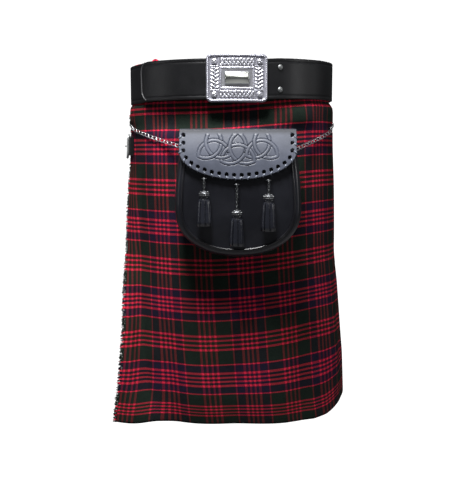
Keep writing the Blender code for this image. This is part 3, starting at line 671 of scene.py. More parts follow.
wisp_line = [(0, 0, -0.6), (0.1, 0, 1.4), (0.5, 0.25, 3.4), (1.3, 0.2, FRINGE_REACH)]
wisp = mesh_of(tube(wisp_line, (0.7, 0.75, 0.62, 0.25), 4))
edge_points, edge_outs, _ = zip(*(row for row in edge_line if row[2] < FRINGE_TOP))
edge_outs = edge_outs / np.linalg.norm(edge_outs, axis=1)[:, None]
fringe_wool = make_fringe_wool()
tufts = repeated(
    edge_points, edge_outs, wisp, fringe_wool, FRINGE_PITCH, Unevenness=0.42, Size_Spread=0.22, Seed=7
)
apron_fringe = finished("apron_fringe_tufts", tufts, fringe_wool, "fringe", "apron_fringe")

# ---------- waistband
# A band of the same tartan laid round the top edge and sewn down. The belt covers it, but for
# a short stretch at the wearer's right where it rises above the belt.
BAND_TOP, BAND_FOOT, BAND_THICK, BAND_OUT, BAND_COLUMNS = 29.4, 3, 1.4, 1.2, 300
BAND_TURNS = (-82, 275.5)
BAND_SHIFT = 0.18  # a red line of the check runs along its top
BAND_PEAK_TURN, BAND_PEAK_WIDTH, BAND_PEAK = -46.5, 7, 4.6

rows = []
for level in levels(BAND_TOP, BAND_FOOT, 3):
    arcs = np.linspace(*map(level.arc, BAND_TURNS), BAND_COLUMNS)
    row = level.places(arcs, np.full(BAND_COLUMNS, BAND_OUT))
    row[:, 2] += BAND_PEAK * np.exp(-(((arcs - level.arc(BAND_PEAK_TURN)) / BAND_PEAK_WIDTH) ** 2))
    rows.append((row, warp_position(arcs, level.height), weft_position(level.height) + BAND_SHIFT))
waistband = cloth("waistband", rows, BAND_THICK)

# ---------- belt
# A wide belt of thick black leather, its edges rounded and creased with a line along each side.
# Its round end laps over the rest under the buckle.
WAIST = Level(0)
Section = namedtuple("Section", "half_height thick edge_round crease")
BELT = Section(30, 3.6, 1.3, 24.6)
LAP = BELT._replace(thick=3.4)
BELT_INSIDE, SEAM_GAP = 2.25, 0.3
STRAP_START, STRAP_END, STRAP_RISE_FROM, STRAP_RISE = 14, 8, 135, 50
LAP_START, LAP_END_TURN, LAP_CORNER, LAP_SLANT = 8, -55.8, 17, 1.5
LAP_BACK = BELT_INSIDE + BELT.thick + SEAM_GAP
CREASE_HALF_WIDTH, CREASE_DEPTH, BLUNT_EDGE = 0.75, 0.34, 0.18
BELT_RIDE = (  # it rides up at the wearer's left and sags a little past the lap: arcs and heights
    (52, 71, 150, 230, 330, 480, 560, 752, 772),
    (0, 1.3, 3.6, 4.4, 2.2, 0, -0.8, -1.8, 0),
)
CUT_WIRE, CUT_END, CUT_INSET, CUT_SINK = 1.3, 1.6, 0.5, 0.7  # the lap's cut end, drawn as a pale rod: the raw edge's own paler colour, with painted highlight along the edge's thickness
# Painted shade: the near-black that leather turns to where a point is marked pressed
PAINTED_SHADE_BLACK = (0.003, 0.003, 0.0035)


def make_leather(name, colour, roughness, grain=380.0, relief=0.00012, **constants):
    """Vegetable-tanned leather, dyed and polished, with a fine grain and the marks of use."""
    finish = Finish(name, **constants)
    cells = finish.node("ShaderNodeTexVoronoi", {"Vector": finish.place(), "Scale": grain})
    pores = finish.noise(grain * 3.2, 2.0, 0.6)
    worn = finish.noise(22.0, 4.0, 0.62).between(0.35, 0.72)
    pressed = finish.mark("pressed")
    colour = finish.mix(worn * 0.35, colour, tuple(2.2 * value for value in colour))
    # The pressed mark darkens the colour: painted shade in the knot's pressed lines and over the flap's fold
    colour = finish.mix(pressed * 0.85, colour, PAINTED_SHADE_BLACK)
    rough = pores * 0.1 + worn * 0.07 + (roughness - 0.085) + pressed * 0.2
    return finish.feed(colour, rough, cells * 0.8 + pores * 0.4, relief, 0.5)


BELT_LEATHER = make_leather("belt leather", (0.0040, 0.0041, 0.0050), 0.45, Specular_IOR_Level=0.4)
# Much paler than the belt: the raw edge's colour together with painted highlight along the edge
CUT_LEATHER = make_leather("cut edge of leather", (0.06, 0.06, 0.063), 0.5)


def round_section(section):
    """(height, out) round a strap's section: up its face, then down its back over the same heights."""
    flat_to = section.half_height - section.edge_round
    heights = [flat_to + section.edge_round * math.sin(a) for a in np.linspace(0, math.pi / 2, 5)]
    heights += [section.crease + share * CREASE_HALF_WIDTH for share in (-1, -0.5, 0, 0.5, 1)]
    heights += [section.half_height * share for share in (0.15, 0.45, 0.7)]
    face, back = [], []
    for height in sorted({round(side * height, 4) for height in heights for side in (-1, 1)}):
        past = max(abs(height) - flat_to, 0) / section.edge_round
        reach = section.thick / 2 * max(math.sqrt(max(1 - past * past, 0)), BLUNT_EDGE)
        pressed = math.exp(-(((abs(height) - section.crease) / CREASE_HALF_WIDTH * 1.5) ** 2))
        face.append((height, reach - CREASE_DEPTH * pressed))
        back.append((height, -reach))
    return face + back[::-1]


def strap(node, shares, place, section, end_round=1.2, look=None, slot="belt_leather"):
    """A strap over its shares. place(share, height) gives a point and the way out from it."""
    section = round_section(section)
    middle = np.array([place(share, 0)[0] for share in shares])
    ends = np.array([0, 0.3, 1.0]) * end_round * (shares[-1] - shares[0]) / run_of(middle)[-1]
    near, far = shares[0] + ends, (shares[-1] - ends)[::-1]
    columns = [*near, *(share for share in shares if near[-1] < share < far[0]), *far]
    scales = [0.35, 0.8] + [1.0] * (len(columns) - 4) + [0.8, 0.35]
    points = []
    for share, scale in zip(columns, scales):
        for height, out in section:
            point, outward = place(share, height)
            points.append(point + outward * out * scale)
    count, last = len(section), (len(columns) - 1) * len(section)
    faces = grid_faces(len(columns), count, False, True)
    for i in range(count // 2 - 1):
        faces.append((i, i + 1, count - 2 - i, count - 1 - i))
        faces.append((last + i + 1, last + i, last + count - 1 - i, last + count - 2 - i))
    return finished(node + "_leather", mesh_of((points, faces)), look or BELT_LEATHER, slot, node)


@lru_cache(None)
def level_at(height):
    return Level(height)


def over_cloth(height, turn, out):
    """A point over the cloth and the way out from it."""
    return level_at(height).standing(level_at(height).arc(turn), out)


def at_waist(arc, height, out):
    """A point of the belt and the way out: the belt keeps the waist's own oval from edge to edge."""
    place, outward = WAIST.standing(arc, out)
    return place + (0, 0, height + np.interp(arc % WAIST.length, *BELT_RIDE)), outward


def strap_middle(arc):
    risen = smooth_step((STRAP_RISE_FROM - arc) / STRAP_RISE)
    return BELT_INSIDE + BELT.thick / 2 + (LAP.thick + SEAM_GAP) * risen


def lap_end(height):
    past = np.clip((abs(height) - LAP.half_height + LAP_CORNER) / LAP_CORNER, 0, 1)
    corner = LAP_CORNER * (1 - math.sqrt(1 - past * past))
    return WAIST.arc(LAP_END_TURN) + corner - LAP_SLANT * height / LAP.half_height


def lap_place(share, height):
    return at_waist(LAP_START + (lap_end(height) - LAP_START) * share, height, LAP_BACK + LAP.thick / 2)


strap_arcs = np.linspace(STRAP_START, WAIST.length + STRAP_END, 190)
strap("belt_strap", strap_arcs, lambda arc, height: at_waist(arc, height, strap_middle(arc)), BELT)
strap("belt_lap", np.linspace(0, 1, 80), lap_place, LAP)
cut_reach, cut_out = LAP.half_height - CUT_END, LAP_BACK + LAP.thick - CUT_SINK
cut_line = [
    at_waist(lap_end(height) - CUT_INSET, height, cut_out)[0]
    for height in np.linspace(-cut_reach, cut_reach, 40)
]
finished("belt_lap_cut", mesh_of(tube(cut_line, CUT_WIRE)), CUT_LEATHER, "belt_leather")

# ---------- plate buckle
# A cast and polished plate, bent to the belt and hooked into its holes: a beaded rim, a plaited
# border in four panels with a stud at each corner, a roped frame and a plain raised middle.
# Two rivets beside it hold its loop in the belt.
PLATE_WIDTH, PLATE_HEIGHT, PLATE_CORNER, PLATE_ARC, PLATE_LEVEL = 86.2, 70.6, 8, 7.9, 0.8
PLATE_SEAT = LAP_BACK + LAP.thick + SEAM_GAP
PLATE_INSETS = (-0.001, 0, 0.35, 0.9, 3.9, 4.5, 4.9, 18.8, 19.4, 21.2, 21.8, 27.2)
PLATE_RISES = (0, 2.6, 3.3, 3.7, 3.7, 3.2, 2.6, 2.6, 3.3, 3.3, 2.6, 2.6)
PLATE_RINGS, PLATE_SIDES = 92, 620
RIM_BEADS = (1.3, 3.9, 2.9, 1.4, 0.9)  # from, to, pitch, height and slant
ROPE = (19.5, 21.1, 2.3, 0.9, 0.9)
BRAID_FROM, BRAID_TO, BRAID_PITCH, BRAID_STRAND, BRAID_HEIGHT = 5.9, 18.1, 17, 1.6, 1.9
PANEL_GAP = 19.2  # a panel stops this far from the plate's corner
FILLET_GAP, FILLET_HALF_WIDTH, FILLET_HEIGHT = 1.4, 0.5, 0.9
STUD_INSET, STUD_RADIUS = 11.6, 4.4
STUD = (
    (0, -0.6), (STUD_RADIUS, -0.6), (STUD_RADIUS, 0.5), (4.1, 0.9), (3.5, 0.7), (3.2, 1.2), (2.9, 2.3),
    (2.2, 3.0), (1.2, 3.4), (0, 3.5),
)
CLAW = table("out rise wire", (4.2, 0.4, 0.75), (3.6, 1.7, 0.65), (2.5, 3.1, 0.5), (1.7, 3.4, 0.3))
MIDDLE_WIDTH, MIDDLE_HEIGHT, MIDDLE_SEAT, MIDDLE_STEP, MIDDLE_CROWN = 34, 18.6, 2.2, 2.2, 3.8
RIVET_ARC, RIVET_HEIGHT, RIVET_RADIUS, RIVET_DOME = 71, 16.4, 4.1, 2.0


def make_metal(name, colour, hollow_colour, roughness, metallic=1.0):
    """Cast metal: bright where it is rubbed and dull in its hollows."""
    finish = Finish(name, Metallic=metallic)
    hollow = finish.mark("hollow")
    tarnish = finish.noise(60.0, 4.0, 0.6).between(0.35, 0.75)
    colour = finish.mix(tarnish * 0.16, colour, tuple(0.7 * value for value in colour))
    rough = finish.noise(240.0, 3.0, 0.6) * 0.1 + tarnish * 0.06 + hollow * 0.25 + (roughness - 0.08)
    relief = finish.noise(700.0, 3.0, 0.6)
    return finish.feed(finish.mix(hollow, colour, hollow_colour), rough, relief, 0.00006, 0.4)


POLISHED = make_metal("polished cast metal", (0.77, 0.77, 0.83), (0.31, 0.31, 0.36), 0.4)
MIRROR = make_metal("burnished metal", (0.9, 0.92, 0.85), (0.05, 0.05, 0.05), 0.2)
DULL_METAL = make_metal("dull metal", (0.3, 0.31, 0.31), (0.1, 0.1, 0.1), 0.52)


def rounded_rectangle(width, height, corner, count):
    """(across, up) points evenly round a rectangle with round corners, from its right side's middle."""
    points = [(width / 2, 0)]
    for k, (x, y) in enumerate(((1, 1), (-1, 1), (-1, -1), (1, -1))):
        for angle in np.radians(np.linspace(90 * k, 90 * k + 90, 9)):
            across = x * (width / 2 - corner) + corner * math.cos(angle)
            points.append((across, y * (height / 2 - corner) + corner * math.sin(angle)))
    return read_along([*points, points[0]], count + 1)[:-1]


def braid_height(along, across, half_run):
    """Three strands plaited flat, along a panel. across is from its middle line."""
    turns = np.maximum(np.round(2 * half_run / BRAID_PITCH), 1)
    pace = math.pi * turns / half_run
    half_width = (BRAID_TO - BRAID_FROM) / 2
    reach = half_width - BRAID_STRAND - 0.3
    top = np.zeros_like(along)
    for phase in around(3):
        wave = pace * along + phase
        lift = 0.5 + 0.5 * np.sin(2 * wave)
        off = np.abs(across - reach * np.sin(wave)) / np.sqrt(1 + (reach * pace * np.cos(wave)) ** 2)
        strand = np.sqrt(np.clip(1 - (off / BRAID_STRAND) ** 2, 0, 1)) * (0.35 + 0.65 * lift)
        groove = 0.22 * np.exp(-((off / 0.32) ** 2)) * (strand > 0)
        top = np.maximum(top, strand - groove)
    faded = smooth_step((half_run - np.abs(along)) / 0.9) * smooth_step((half_width - np.abs(across)) / 0.5)
    return BRAID_HEIGHT * top * faded


def plate_relief(u, v, inset):
    """The cast ornament's height over the plate's steps, and how deep in a hollow each point is."""
    half_width, half_height = PLATE_WIDTH / 2, PLATE_HEIGHT / 2
    on_side = (half_width - np.abs(u)) < (half_height - np.abs(v))
    along = np.where(on_side, v, u)
    half_run = np.where(on_side, half_height, half_width) - PANEL_GAP
    if BRAID_FROM < inset < BRAID_TO:
        relief = braid_height(along, inset - (BRAID_FROM + BRAID_TO) / 2, half_run)
        from_fillet = np.abs(np.abs(along) - half_run - FILLET_GAP)
        relief += np.where(from_fillet < FILLET_HALF_WIDTH, FILLET_HEIGHT, 0)
        return relief, np.clip(1 - relief / 1.3, 0, 1) * 0.9
    for start, end, pitch, height, slant in (RIM_BEADS, ROPE):
        off = (inset - (start + end) / 2) / ((end - start) / 2)
        if abs(off) < 1:
            cell = ((along + slant * (inset - (start + end) / 2)) / pitch) % 1 - 0.5
            relief = height * np.sqrt(np.clip(1 - off**2 - (2 * cell) ** 2 * 0.9, 0, 1)) - 0.25
            return relief, np.clip(1 - relief * 0.5, 0.5, 1)
    return np.zeros_like(u), np.full_like(u, 0.85 if inset < BRAID_FROM else 0)


def lathe(profile, sides=24, flat=1.0, at=(0, 0, 0)):
    """(points, faces) of a turned shape about Z from (radius, height) rows. A radius of 0 is a pole."""
    points, rings = [], []
    for radius, height in profile:
        angles = around(sides) if radius > 0 else [0]
        rings.append([len(points) + i for i in range(len(angles))])
        points += [(radius * math.cos(a), radius * math.sin(a) * flat, height) for a in angles]
    faces = []
    for low, high in zip(rings, rings[1:]):
        for i in range(sides):
            j = (i + 1) % sides
            corners = (low[i % len(low)], low[j % len(low)], high[j % len(high)], high[i % len(high)])
            faces.append(tuple(dict.fromkeys(corners)))
    return np.array(points) + at, faces


def stood(part, place, outward):
    """A part moved so that its Z points outward from a place."""
    turn = Vector(outward).to_track_quat("Z", "Y").to_matrix()
    return np.asarray(part[0]) @ np.array(turn).T + np.asarray(place), part[1]


points, hollows = [], []
for inset in (*PLATE_INSETS[:3], *np.linspace(0.6, PLATE_INSETS[-1], PLATE_RINGS)):
    sides = (PLATE_WIDTH - 2 * inset, PLATE_HEIGHT - 2 * inset)
    u, v = rounded_rectangle(*sides, max(PLATE_CORNER - inset, 0.9), PLATE_SIDES).T
    relief, hollow = plate_relief(u, v, inset)
    ring = WAIST.places(PLATE_ARC + u, PLATE_SEAT + np.interp(inset, PLATE_INSETS, PLATE_RISES) + relief)
    ring[:, 2] = PLATE_LEVEL + v
    points += list(ring)
    hollows += list(hollow)
plate = mesh_of((points, stack_faces(len(points) // PLATE_SIDES, PLATE_SIDES)), hollow=hollows)
finished("buckle_plate_cast", plate, POLISHED, "cast_metal", "buckle_plate")

# The plain middle is a low dome, burnished until it mirrors the room.
rows, u = [], np.linspace(-1, 1, 41)
for v in np.linspace(-1, 1, 25):
    from_edge = np.minimum((1 - np.abs(u)) * MIDDLE_WIDTH, (1 - abs(v)) * MIDDLE_HEIGHT) / 2
    crown = MIDDLE_CROWN * (1 - abs(v) ** 1.4) * (1 - 0.25 * u * u)
    rise = MIDDLE_SEAT + MIDDLE_STEP * smooth_step(from_edge / 1.1) + crown
    row = WAIST.places(PLATE_ARC + u * MIDDLE_WIDTH / 2, PLATE_SEAT + rise)
    row[:, 2] = PLATE_LEVEL + v * MIDDLE_HEIGHT / 2
    rows.append(row)
finished("buckle_plate_middle", grid_mesh(rows), MIRROR, "cast_metal")

studs = []
for side, rise in ((-1, -1), (-1, 1), (1, -1), (1, 1)):
    arc = PLATE_ARC + side * (PLATE_WIDTH / 2 - STUD_INSET)
    seat = at_waist(arc, PLATE_LEVEL + rise * (PLATE_HEIGHT / 2 - STUD_INSET), PLATE_SEAT + 2.6)
    studs.append(stood(lathe(STUD, 28), *seat))
    for angle in around(4) + math.pi / 4:
        path = [(math.cos(angle) * knot.out, math.sin(angle) * knot.out, knot.rise) for knot in CLAW]
        studs.append(stood(tube(path, [knot.wire for knot in CLAW], 8), *seat))
finished("buckle_plate_studs", mesh_of(*studs), POLISHED, "cast_metal")

dome = [(RIVET_RADIUS * math.cos(a), RIVET_DOME * math.sin(a) + 0.001) for a in np.linspace(0, 1.5, 9)]
for name, side in (("belt_rivet_upper", 1), ("belt_rivet_lower", -1)):
    seat = strap_middle(RIVET_ARC) + BELT.thick / 2 + SEAM_GAP
    rivet = lathe([(0, 0), *dome, (0, RIVET_DOME)], 32)
    rivet = stood(rivet, *at_waist(RIVET_ARC, side * RIVET_HEIGHT, seat))
    finished(name + "_dome", mesh_of(rivet), DULL_METAL, "dark_silver", name)

# ---------- hip strap and buckle
# A narrow black strap from the over-apron round to the pleats, drawn through a small polished
# frame at the wearer's right. The frame's prong goes through one of its holes.
ON_PLEATS, HIP_LEVEL = 0.45, -98
HIP = Section(15, 2, 0.8, 11.6)
HIP_TURNS, HIP_BUCKLE_TURN, HIP_HUMP, HIP_HUMP_TURNS = (-112, -68), -86, 0.9, 3.2
FRAME_HALF_WIDTH_TURNS, FRAME_HALF_HEIGHT, FRAME_WIRE, FRAME_CORNER = 5.2, 18.6, 1.6, 0.5
FRAME_OUT = ON_PLEATS + HIP.thick + SEAM_GAP + FRAME_WIRE
PRONG_GAP = SEAM_GAP + 1
PRONG_WIRES = (0.8, 1.2, 1.3, 1.3, 1.3, 1.3, 1.2, 1, 0.6)

HIP_METAL = make_metal("hip buckle metal", (0.36, 0.37, 0.37), (0.2, 0.2, 0.2), 0.4, 0.4)


def hip_level(turn):
    hump = smooth_step(1.15 - abs(turn - HIP_BUCKLE_TURN) / HIP_HUMP_TURNS)
    return ON_PLEATS + HIP.thick / 2 + HIP_HUMP * hump


def hip_place(turn, height):
    return over_cloth(HIP_LEVEL + height, turn, hip_level(turn))


def hip_line(places, out):
    """Points at (share across, share up) places of the buckle's frame."""
    return [
        over_cloth(HIP_LEVEL + v * FRAME_HALF_HEIGHT, HIP_BUCKLE_TURN + u * FRAME_HALF_WIDTH_TURNS, out)[0]
        for u, v in places
    ]


strap("hip_strap", np.linspace(*HIP_TURNS, 70), hip_place, HIP, HIP.edge_round)
wire = tube(hip_line(rounded_rectangle(2, 2, FRAME_CORNER, 72), FRAME_OUT), FRAME_WIRE, 14, True)
finished("hip_buckle_frame", mesh_of(wire), HIP_METAL, "cast_metal", "hip_buckle")
prong_out = max(hip_level(HIP_BUCKLE_TURN) + HIP.thick / 2, FRAME_OUT + FRAME_WIRE) + PRONG_GAP
prong = tube(hip_line([(share, 0) for share in np.linspace(-0.06, 1.2, 9)], prong_out), PRONG_WIRES, 12)
finished("hip_buckle_prong_pin", mesh_of(prong), DULL_METAL, "cast_metal", "hip_buckle_prong")

# ---------- pouch
# The sporran's pouch, in smooth black leather: a flat back, a gusset bent round its edge and
# rolled over on to the front, and a front panel sewn in just inside that roll.
POUCH_X, POUCH_BACK_Y, POUCH_BACK_THICK, POUCH_BACK_INSET = 10, -144.2, 2.6, 0.5
POUCH_HALF_WIDTH, POUCH_TOP_HALF_WIDTH = 90.5, 79
POUCH_TOP, POUCH_WIDEST, POUCH_BOTTOM, POUCH_SQUARENESS = -80, -190, -258, 2.2
POUCH_COLUMNS = 160
POUCH_DEPTH = table("height depth", (-80, 30), (-100, 36.5), (-125, 41), (-150, 43), (-200, 43.5), (-258, 42))
GUSSET_THICK, GUSSET_START, GUSSET_BULGE = 2.4, 3.1, 0.9  # it bulges least where it is sewn
# How far inside the outline the gusset runs, and its share of the way forward.
GUSSET = ((1.6, 0), (0.4, 0.24), (0.2, 0.57), (1.2, 0.82), (4.2, 0.965), (9.2, 1.01))
FRONT_INSET, FRONT_THICK, FRONT_CROWN, CROWN_REACH, CROWN_RISE = 9.95, 2.6, 2.2, 46, 40
WELT_INSET, WELT_RADIUS, WELT_FORWARD = 9.4, 1.8, 1.1  # a thin cord of leather in the seam

POUCH_LEATHER = make_leather("sporran leather", (0.0070, 0.0074, 0.0105), 0.36, 460.0, 0.0001)
WELT_LEATHER = make_leather("welt leather", (0.006, 0.006, 0.008), 0.32, 460.0, 0.00005)


def pouch_outline(inset):
    """(x, height) evenly round the pouch from one side of its mouth to the other, moved in."""
    sides = np.linspace(POUCH_TOP, POUCH_WIDEST, 30)
    rise = np.sin((POUCH_TOP - sides) / (POUCH_TOP - POUCH_WIDEST) * math.pi / 2)
    angles, power = np.linspace(0, math.pi / 2, 60)[1:], 2 / POUCH_SQUARENESS
    x = POUCH_TOP_HALF_WIDTH + (POUCH_HALF_WIDTH - POUCH_TOP_HALF_WIDTH) * rise - inset
    x = np.append(x, (POUCH_HALF_WIDTH - inset) * np.abs(np.cos(angles)) ** power)
    z = np.append(sides, POUCH_WIDEST - (POUCH_WIDEST - POUCH_BOTTOM - inset) * np.sin(angles) ** power)
    x[-1] = 0
    return read_along(beside(np.append(-x, x[-2::-1]), np.append(z, z[-2::-1])), POUCH_COLUMNS)


def pouch_depth(height):
    return at_height(POUCH_DEPTH, "depth", height)


def pouch_ring(inset, forward_share=1.0, forward=0.0):
    x, height = pouch_outline(inset).T
    depth = GUSSET_START + forward_share * (pouch_depth(height) - GUSSET_START) + forward
    return beside(POUCH_X + x, POUCH_BACK_Y - depth, height)


def pouch_panel(node, inset, columns, thick, y_at):
    """A panel across the pouch's outline. y_at gives its y at (share across, half width, height)."""
    rows, across = [], np.linspace(-1, 1, columns)
    for x, height in pouch_outline(inset)[: POUCH_COLUMNS // 2]:
        rows.append(beside(POUCH_X + across * abs(x), y_at(across, abs(x), height), height))
    finished(node + "_leather", grid_mesh(rows), POUCH_LEATHER, "sporran_leather", node, wall=thick)


def front_y(across, half_width, height):
    above = smooth_step((height - POUCH_BOTTOM - FRONT_INSET) / CROWN_RISE)
    crown = FRONT_CROWN * smooth_step(half_width * (1 - np.abs(across)) / CROWN_REACH) * above
    return POUCH_BACK_Y - pouch_depth(height) - crown


rows = [
    pouch_ring(inset - GUSSET_BULGE * math.sin(math.pi * min(share, 1)) ** 2, share)
    for inset, share in curve_through(GUSSET, np.linspace(0, 1, 34))
]
gusset = grid_mesh(rows)
finished(
    "pouch_gusset_leather", gusset, POUCH_LEATHER, "sporran_leather", "pouch_gusset", wall=GUSSET_THICK
)
back_y = POUCH_BACK_Y - POUCH_BACK_THICK / 2
pouch_panel("pouch_back", POUCH_BACK_INSET, 41, POUCH_BACK_THICK, lambda *place: back_y)
pouch_panel("pouch_front", FRONT_INSET, 61, FRONT_THICK, front_y)
welt = tube(pouch_ring(WELT_INSET, 1.0, WELT_FORWARD)[3:-3], WELT_RADIUS, 8)
finished("pouch_welt", mesh_of(welt), WELT_LEATHER, "sporran_leather")

# ---------- flap
# One piece of leather from behind the pouch, over its mouth and down its front, waxed to a
# shine; its grey is painted sheen, a base colour lifted from black. A knot is pressed into its face, and it
# is laced round its edge.
FLAP_X, FLAP_HALF_WIDTH, FLAP_THICK, FLAP_BULGE = 9.5, 84, 3, 3.2
FLAP_STRAIGHT_TO, FLAP_BOTTOM, FLAP_EDGE_Y = -105, -146, -195
FLAP_FOLD = (  # y and height, from behind the pouch to where the flap starts down its front
    (-145.5, -79), (-146.1, -76.8), (-152, -75.2), (-172, -75.5), (-178.1, -76.5), (-179.4, -78.4),
    (-181.4, -83.4),
)
FOLD_Y, FOLD_END = FLAP_FOLD[-1]
FLAP_FACE_Y = -178
FOLD_SHADE_FROM, FOLD_SHADE_REACH, FOLD_SHADE = -85, 8, 0.8  # painted shade: the colour darkens over the top of the flap's fold, above this height
FLAP_COLUMNS, FLAP_ROWS, FOLD_ROWS = 256, 96, 28
HOLE_INSET, HOLE_RADIUS, HOLE_SNAP, HOLES, HOLE_START = 5.9, 2.9, (-0.34, 0.36), 22, 1.0
KNOT_HALF_BAND, KNOT_LINE, KNOT_RISE, KNOT_DEPTH, KNOT_REACH = 2.45, 0.7, 0.6, 1.2, 68
# Each trinity's x, height, reach and turn.
TRINITIES = ((9.5, -107.5, 27, 90), (-25, -100.5, 25.5, 211), (44, -100.5, 25.5, -31))
# A wrap's knots: out from its hole, along the edge, out from the leather's middle, and its radius.
HALF_FLAP = FLAP_THICK / 2
WRAP = table(
    "outwards aside lift wire",
    (HOLE_RADIUS - 0.5, 0, -0.4, 0.6), (HOLE_RADIUS + 0.1, 0.2, HALF_FLAP + 0.3, 1.0),
    (HOLE_RADIUS + 1.0, 0.9, HALF_FLAP + 0.55, 1.2), (HOLE_INSET - 1.2, 2.2, HALF_FLAP + 0.4, 1.3),
    (HOLE_INSET + 0.1, 2.6, 0, 1.25), (HOLE_INSET - 1.2, 2.7, -HALF_FLAP - 0.4, 1.1),
    (HOLE_RADIUS, 1.4, -HALF_FLAP - 0.5, 0.8),
)

# Base colour lifted from black to blue-grey: painted sheen standing in for the wax's reflection of the light
# above
FLAP_LEATHER = make_leather(
    "flap leather", (0.061, 0.0685, 0.094), 0.5, 420.0, 0.0001,
    Specular_IOR_Level=0.5, Coat_Weight=0.1, Coat_Roughness=0.4,
)
# Pale grey base on a black thong: painted sheen for the wraps' highlights
THONG = make_leather("thong", (0.15, 0.168, 0.21), 0.4, 700.0, 0.0001, Specular_IOR_Level=0.8)


def flap_y(height):
    share = (FOLD_END - height) / (FOLD_END - FLAP_BOTTOM)
    return FOLD_Y + (FLAP_EDGE_Y - FOLD_Y) * share - FLAP_BULGE * np.sin(math.pi * np.clip(share, 0, 1))


def flap_bottom(across):
    return FLAP_STRAIGHT_TO + (FLAP_BOTTOM - FLAP_STRAIGHT_TO) * np.sqrt(np.clip(1 - across * across, 0, 1))


def flap_holes():
    """(x, height) of the lacing holes, evenly round inside the flap's free edge, and the ways out."""
    angles = np.linspace(-math.pi / 2, math.pi / 2, 200)
    x = FLAP_HALF_WIDTH * np.concatenate([[-1], np.sin(angles), [1]])
    round_edge = FLAP_STRAIGHT_TO - (FLAP_STRAIGHT_TO - FLAP_BOTTOM) * np.cos(angles)
    z = np.concatenate([[FOLD_END], round_edge, [FOLD_END]])
    run = beside(np.gradient(z), -np.gradient(x))
    outs = run / np.linalg.norm(run, axis=1)[:, None]
    inside = beside(x, z) - outs * HOLE_INSET
    along = run_of(inside)
    even = np.linspace(HOLE_START, along[-1] - HOLE_START, HOLES)
    outs = beside(*(np.interp(even, along, column) for column in outs.T))
    return read_along(inside, even) + (FLAP_X, 0), outs / np.linalg.norm(outs, axis=1)[:, None]


def trinity(x, height, reach, turn, count=71):
    """A closed line with three points, made of a half circle from each point to the next."""
    line = []
    for spoke in (180, 60, -60):
        toward = math.radians(turn + spoke)
        middle = np.array([x + reach / 2 * math.cos(toward), height + reach / 2 * math.sin(toward)])
        angles = np.linspace(toward + math.pi / 2, toward + 1.5 * math.pi, count, endpoint=False)
        line.append(middle + reach * math.sqrt(0.75) * beside(np.cos(angles), np.sin(angles)))
    return np.concatenate(line)


def crossed(a, b):
    return a[..., 0] * b[..., 1] - a[..., 1] * b[..., 0]


def interlaced(lines):
    """The lines' points, and how high each lies when they pass over and under in turn."""
    points = np.concatenate(lines)
    run = np.concatenate([np.roll(line, -1, 0) for line in lines]) - points
    owner = np.repeat(np.arange(len(lines)), [len(line) for line in lines])
    met = []
    for i in range(len(points) - 1):
        away, other = points[i + 1 :] - points[i], run[i + 1 :]
        size = crossed(run[i], other)
        size = np.where(np.abs(size) < 1e-12, 1e-12, size)
        here, there = crossed(away, other) / size, crossed(away, run[i]) / size
        hit = (np.minimum(here, there) > 1e-7) & (np.maximum(here, there) < 1 - 1e-7)
        met += [(i + here[k], i + 1 + k + there[k]) for k in np.where(hit)[0]]
    places = [place for pair in met for place in pair]
    visits = [sorted(place for place in places if owner[int(place)] == own) for own in range(len(lines))]
    rank = {place: k for places in visits for k, place in enumerate(places)}
    start, level = {0: 1}, np.zeros(len(points))
    for one, two in (met + [pair[::-1] for pair in met]) * len(lines):
        known, other = owner[int(one)], owner[int(two)]
        if known in start and other not in start:
            start[other] = -start[known] * (-1) ** (rank[one] + rank[two])
    for own, places in enumerate(visits):
        mine = np.where(owner == own)[0]
        signs = start[own] * (-1.0) ** np.arange(-1, len(places) + 1)
        level[mine] = np.interp(mine, [places[-1] - len(mine), *places, places[0] + len(mine)], signs)
    return points, level


def pressed_knot(x, z):
    """(how deep the lines beside the band are pressed, how far the band stands), each 0 to 1."""
    line, level = interlaced([trinity(*row) for row in TRINITIES])
    flat = beside(x.ravel(), z.ravel())
    near = np.where((np.abs(flat[:, 0] - FLAP_X) < KNOT_REACH) & (flat[:, 1] < FOLD_END))[0]
    pressed, stands = np.zeros(len(flat)), np.zeros(len(flat))
    for part in np.array_split(near, 40):
        distance = np.linalg.norm(flat[part, None] - line, axis=2)
        covered = distance < KNOT_HALF_BAND + KNOT_LINE
        top = np.where(covered, level, -9).max(axis=1)
        nearest = np.where(covered & (np.abs(level - top[:, None]) < 0.6), distance, 99).min(axis=1)
        pressed[part] = np.exp(-(((nearest - KNOT_HALF_BAND) / KNOT_LINE) ** 2))
        stands[part] = np.sqrt(np.clip(1 - (nearest / KNOT_HALF_BAND) ** 2, 0, 1))
    return pressed.reshape(x.shape), stands.reshape(x.shape)


across = np.linspace(-1, 1, FLAP_COLUMNS)
profile = [(y, np.full(FLAP_COLUMNS, z)) for y, z in curve_through(FLAP_FOLD, np.linspace(0, 1, FOLD_ROWS))]
for share in np.linspace(0, 1, FLAP_ROWS)[1:]:
    height = FOLD_END + (flap_bottom(across) - FOLD_END) * share
    profile.append((flap_y(height), height))
flap_x = FLAP_X + FLAP_HALF_WIDTH * across
flap_points = np.array([beside(flap_x, y, z) for y, z in profile])
on_front = flap_points[:, :1, 1] < FLAP_FACE_Y
pressed, stands = (on_front * each for each in pressed_knot(flap_points[:, :, 0], flap_points[:, :, 2]))
flap_points[:, :, 1] += KNOT_DEPTH * pressed - KNOT_RISE * stands
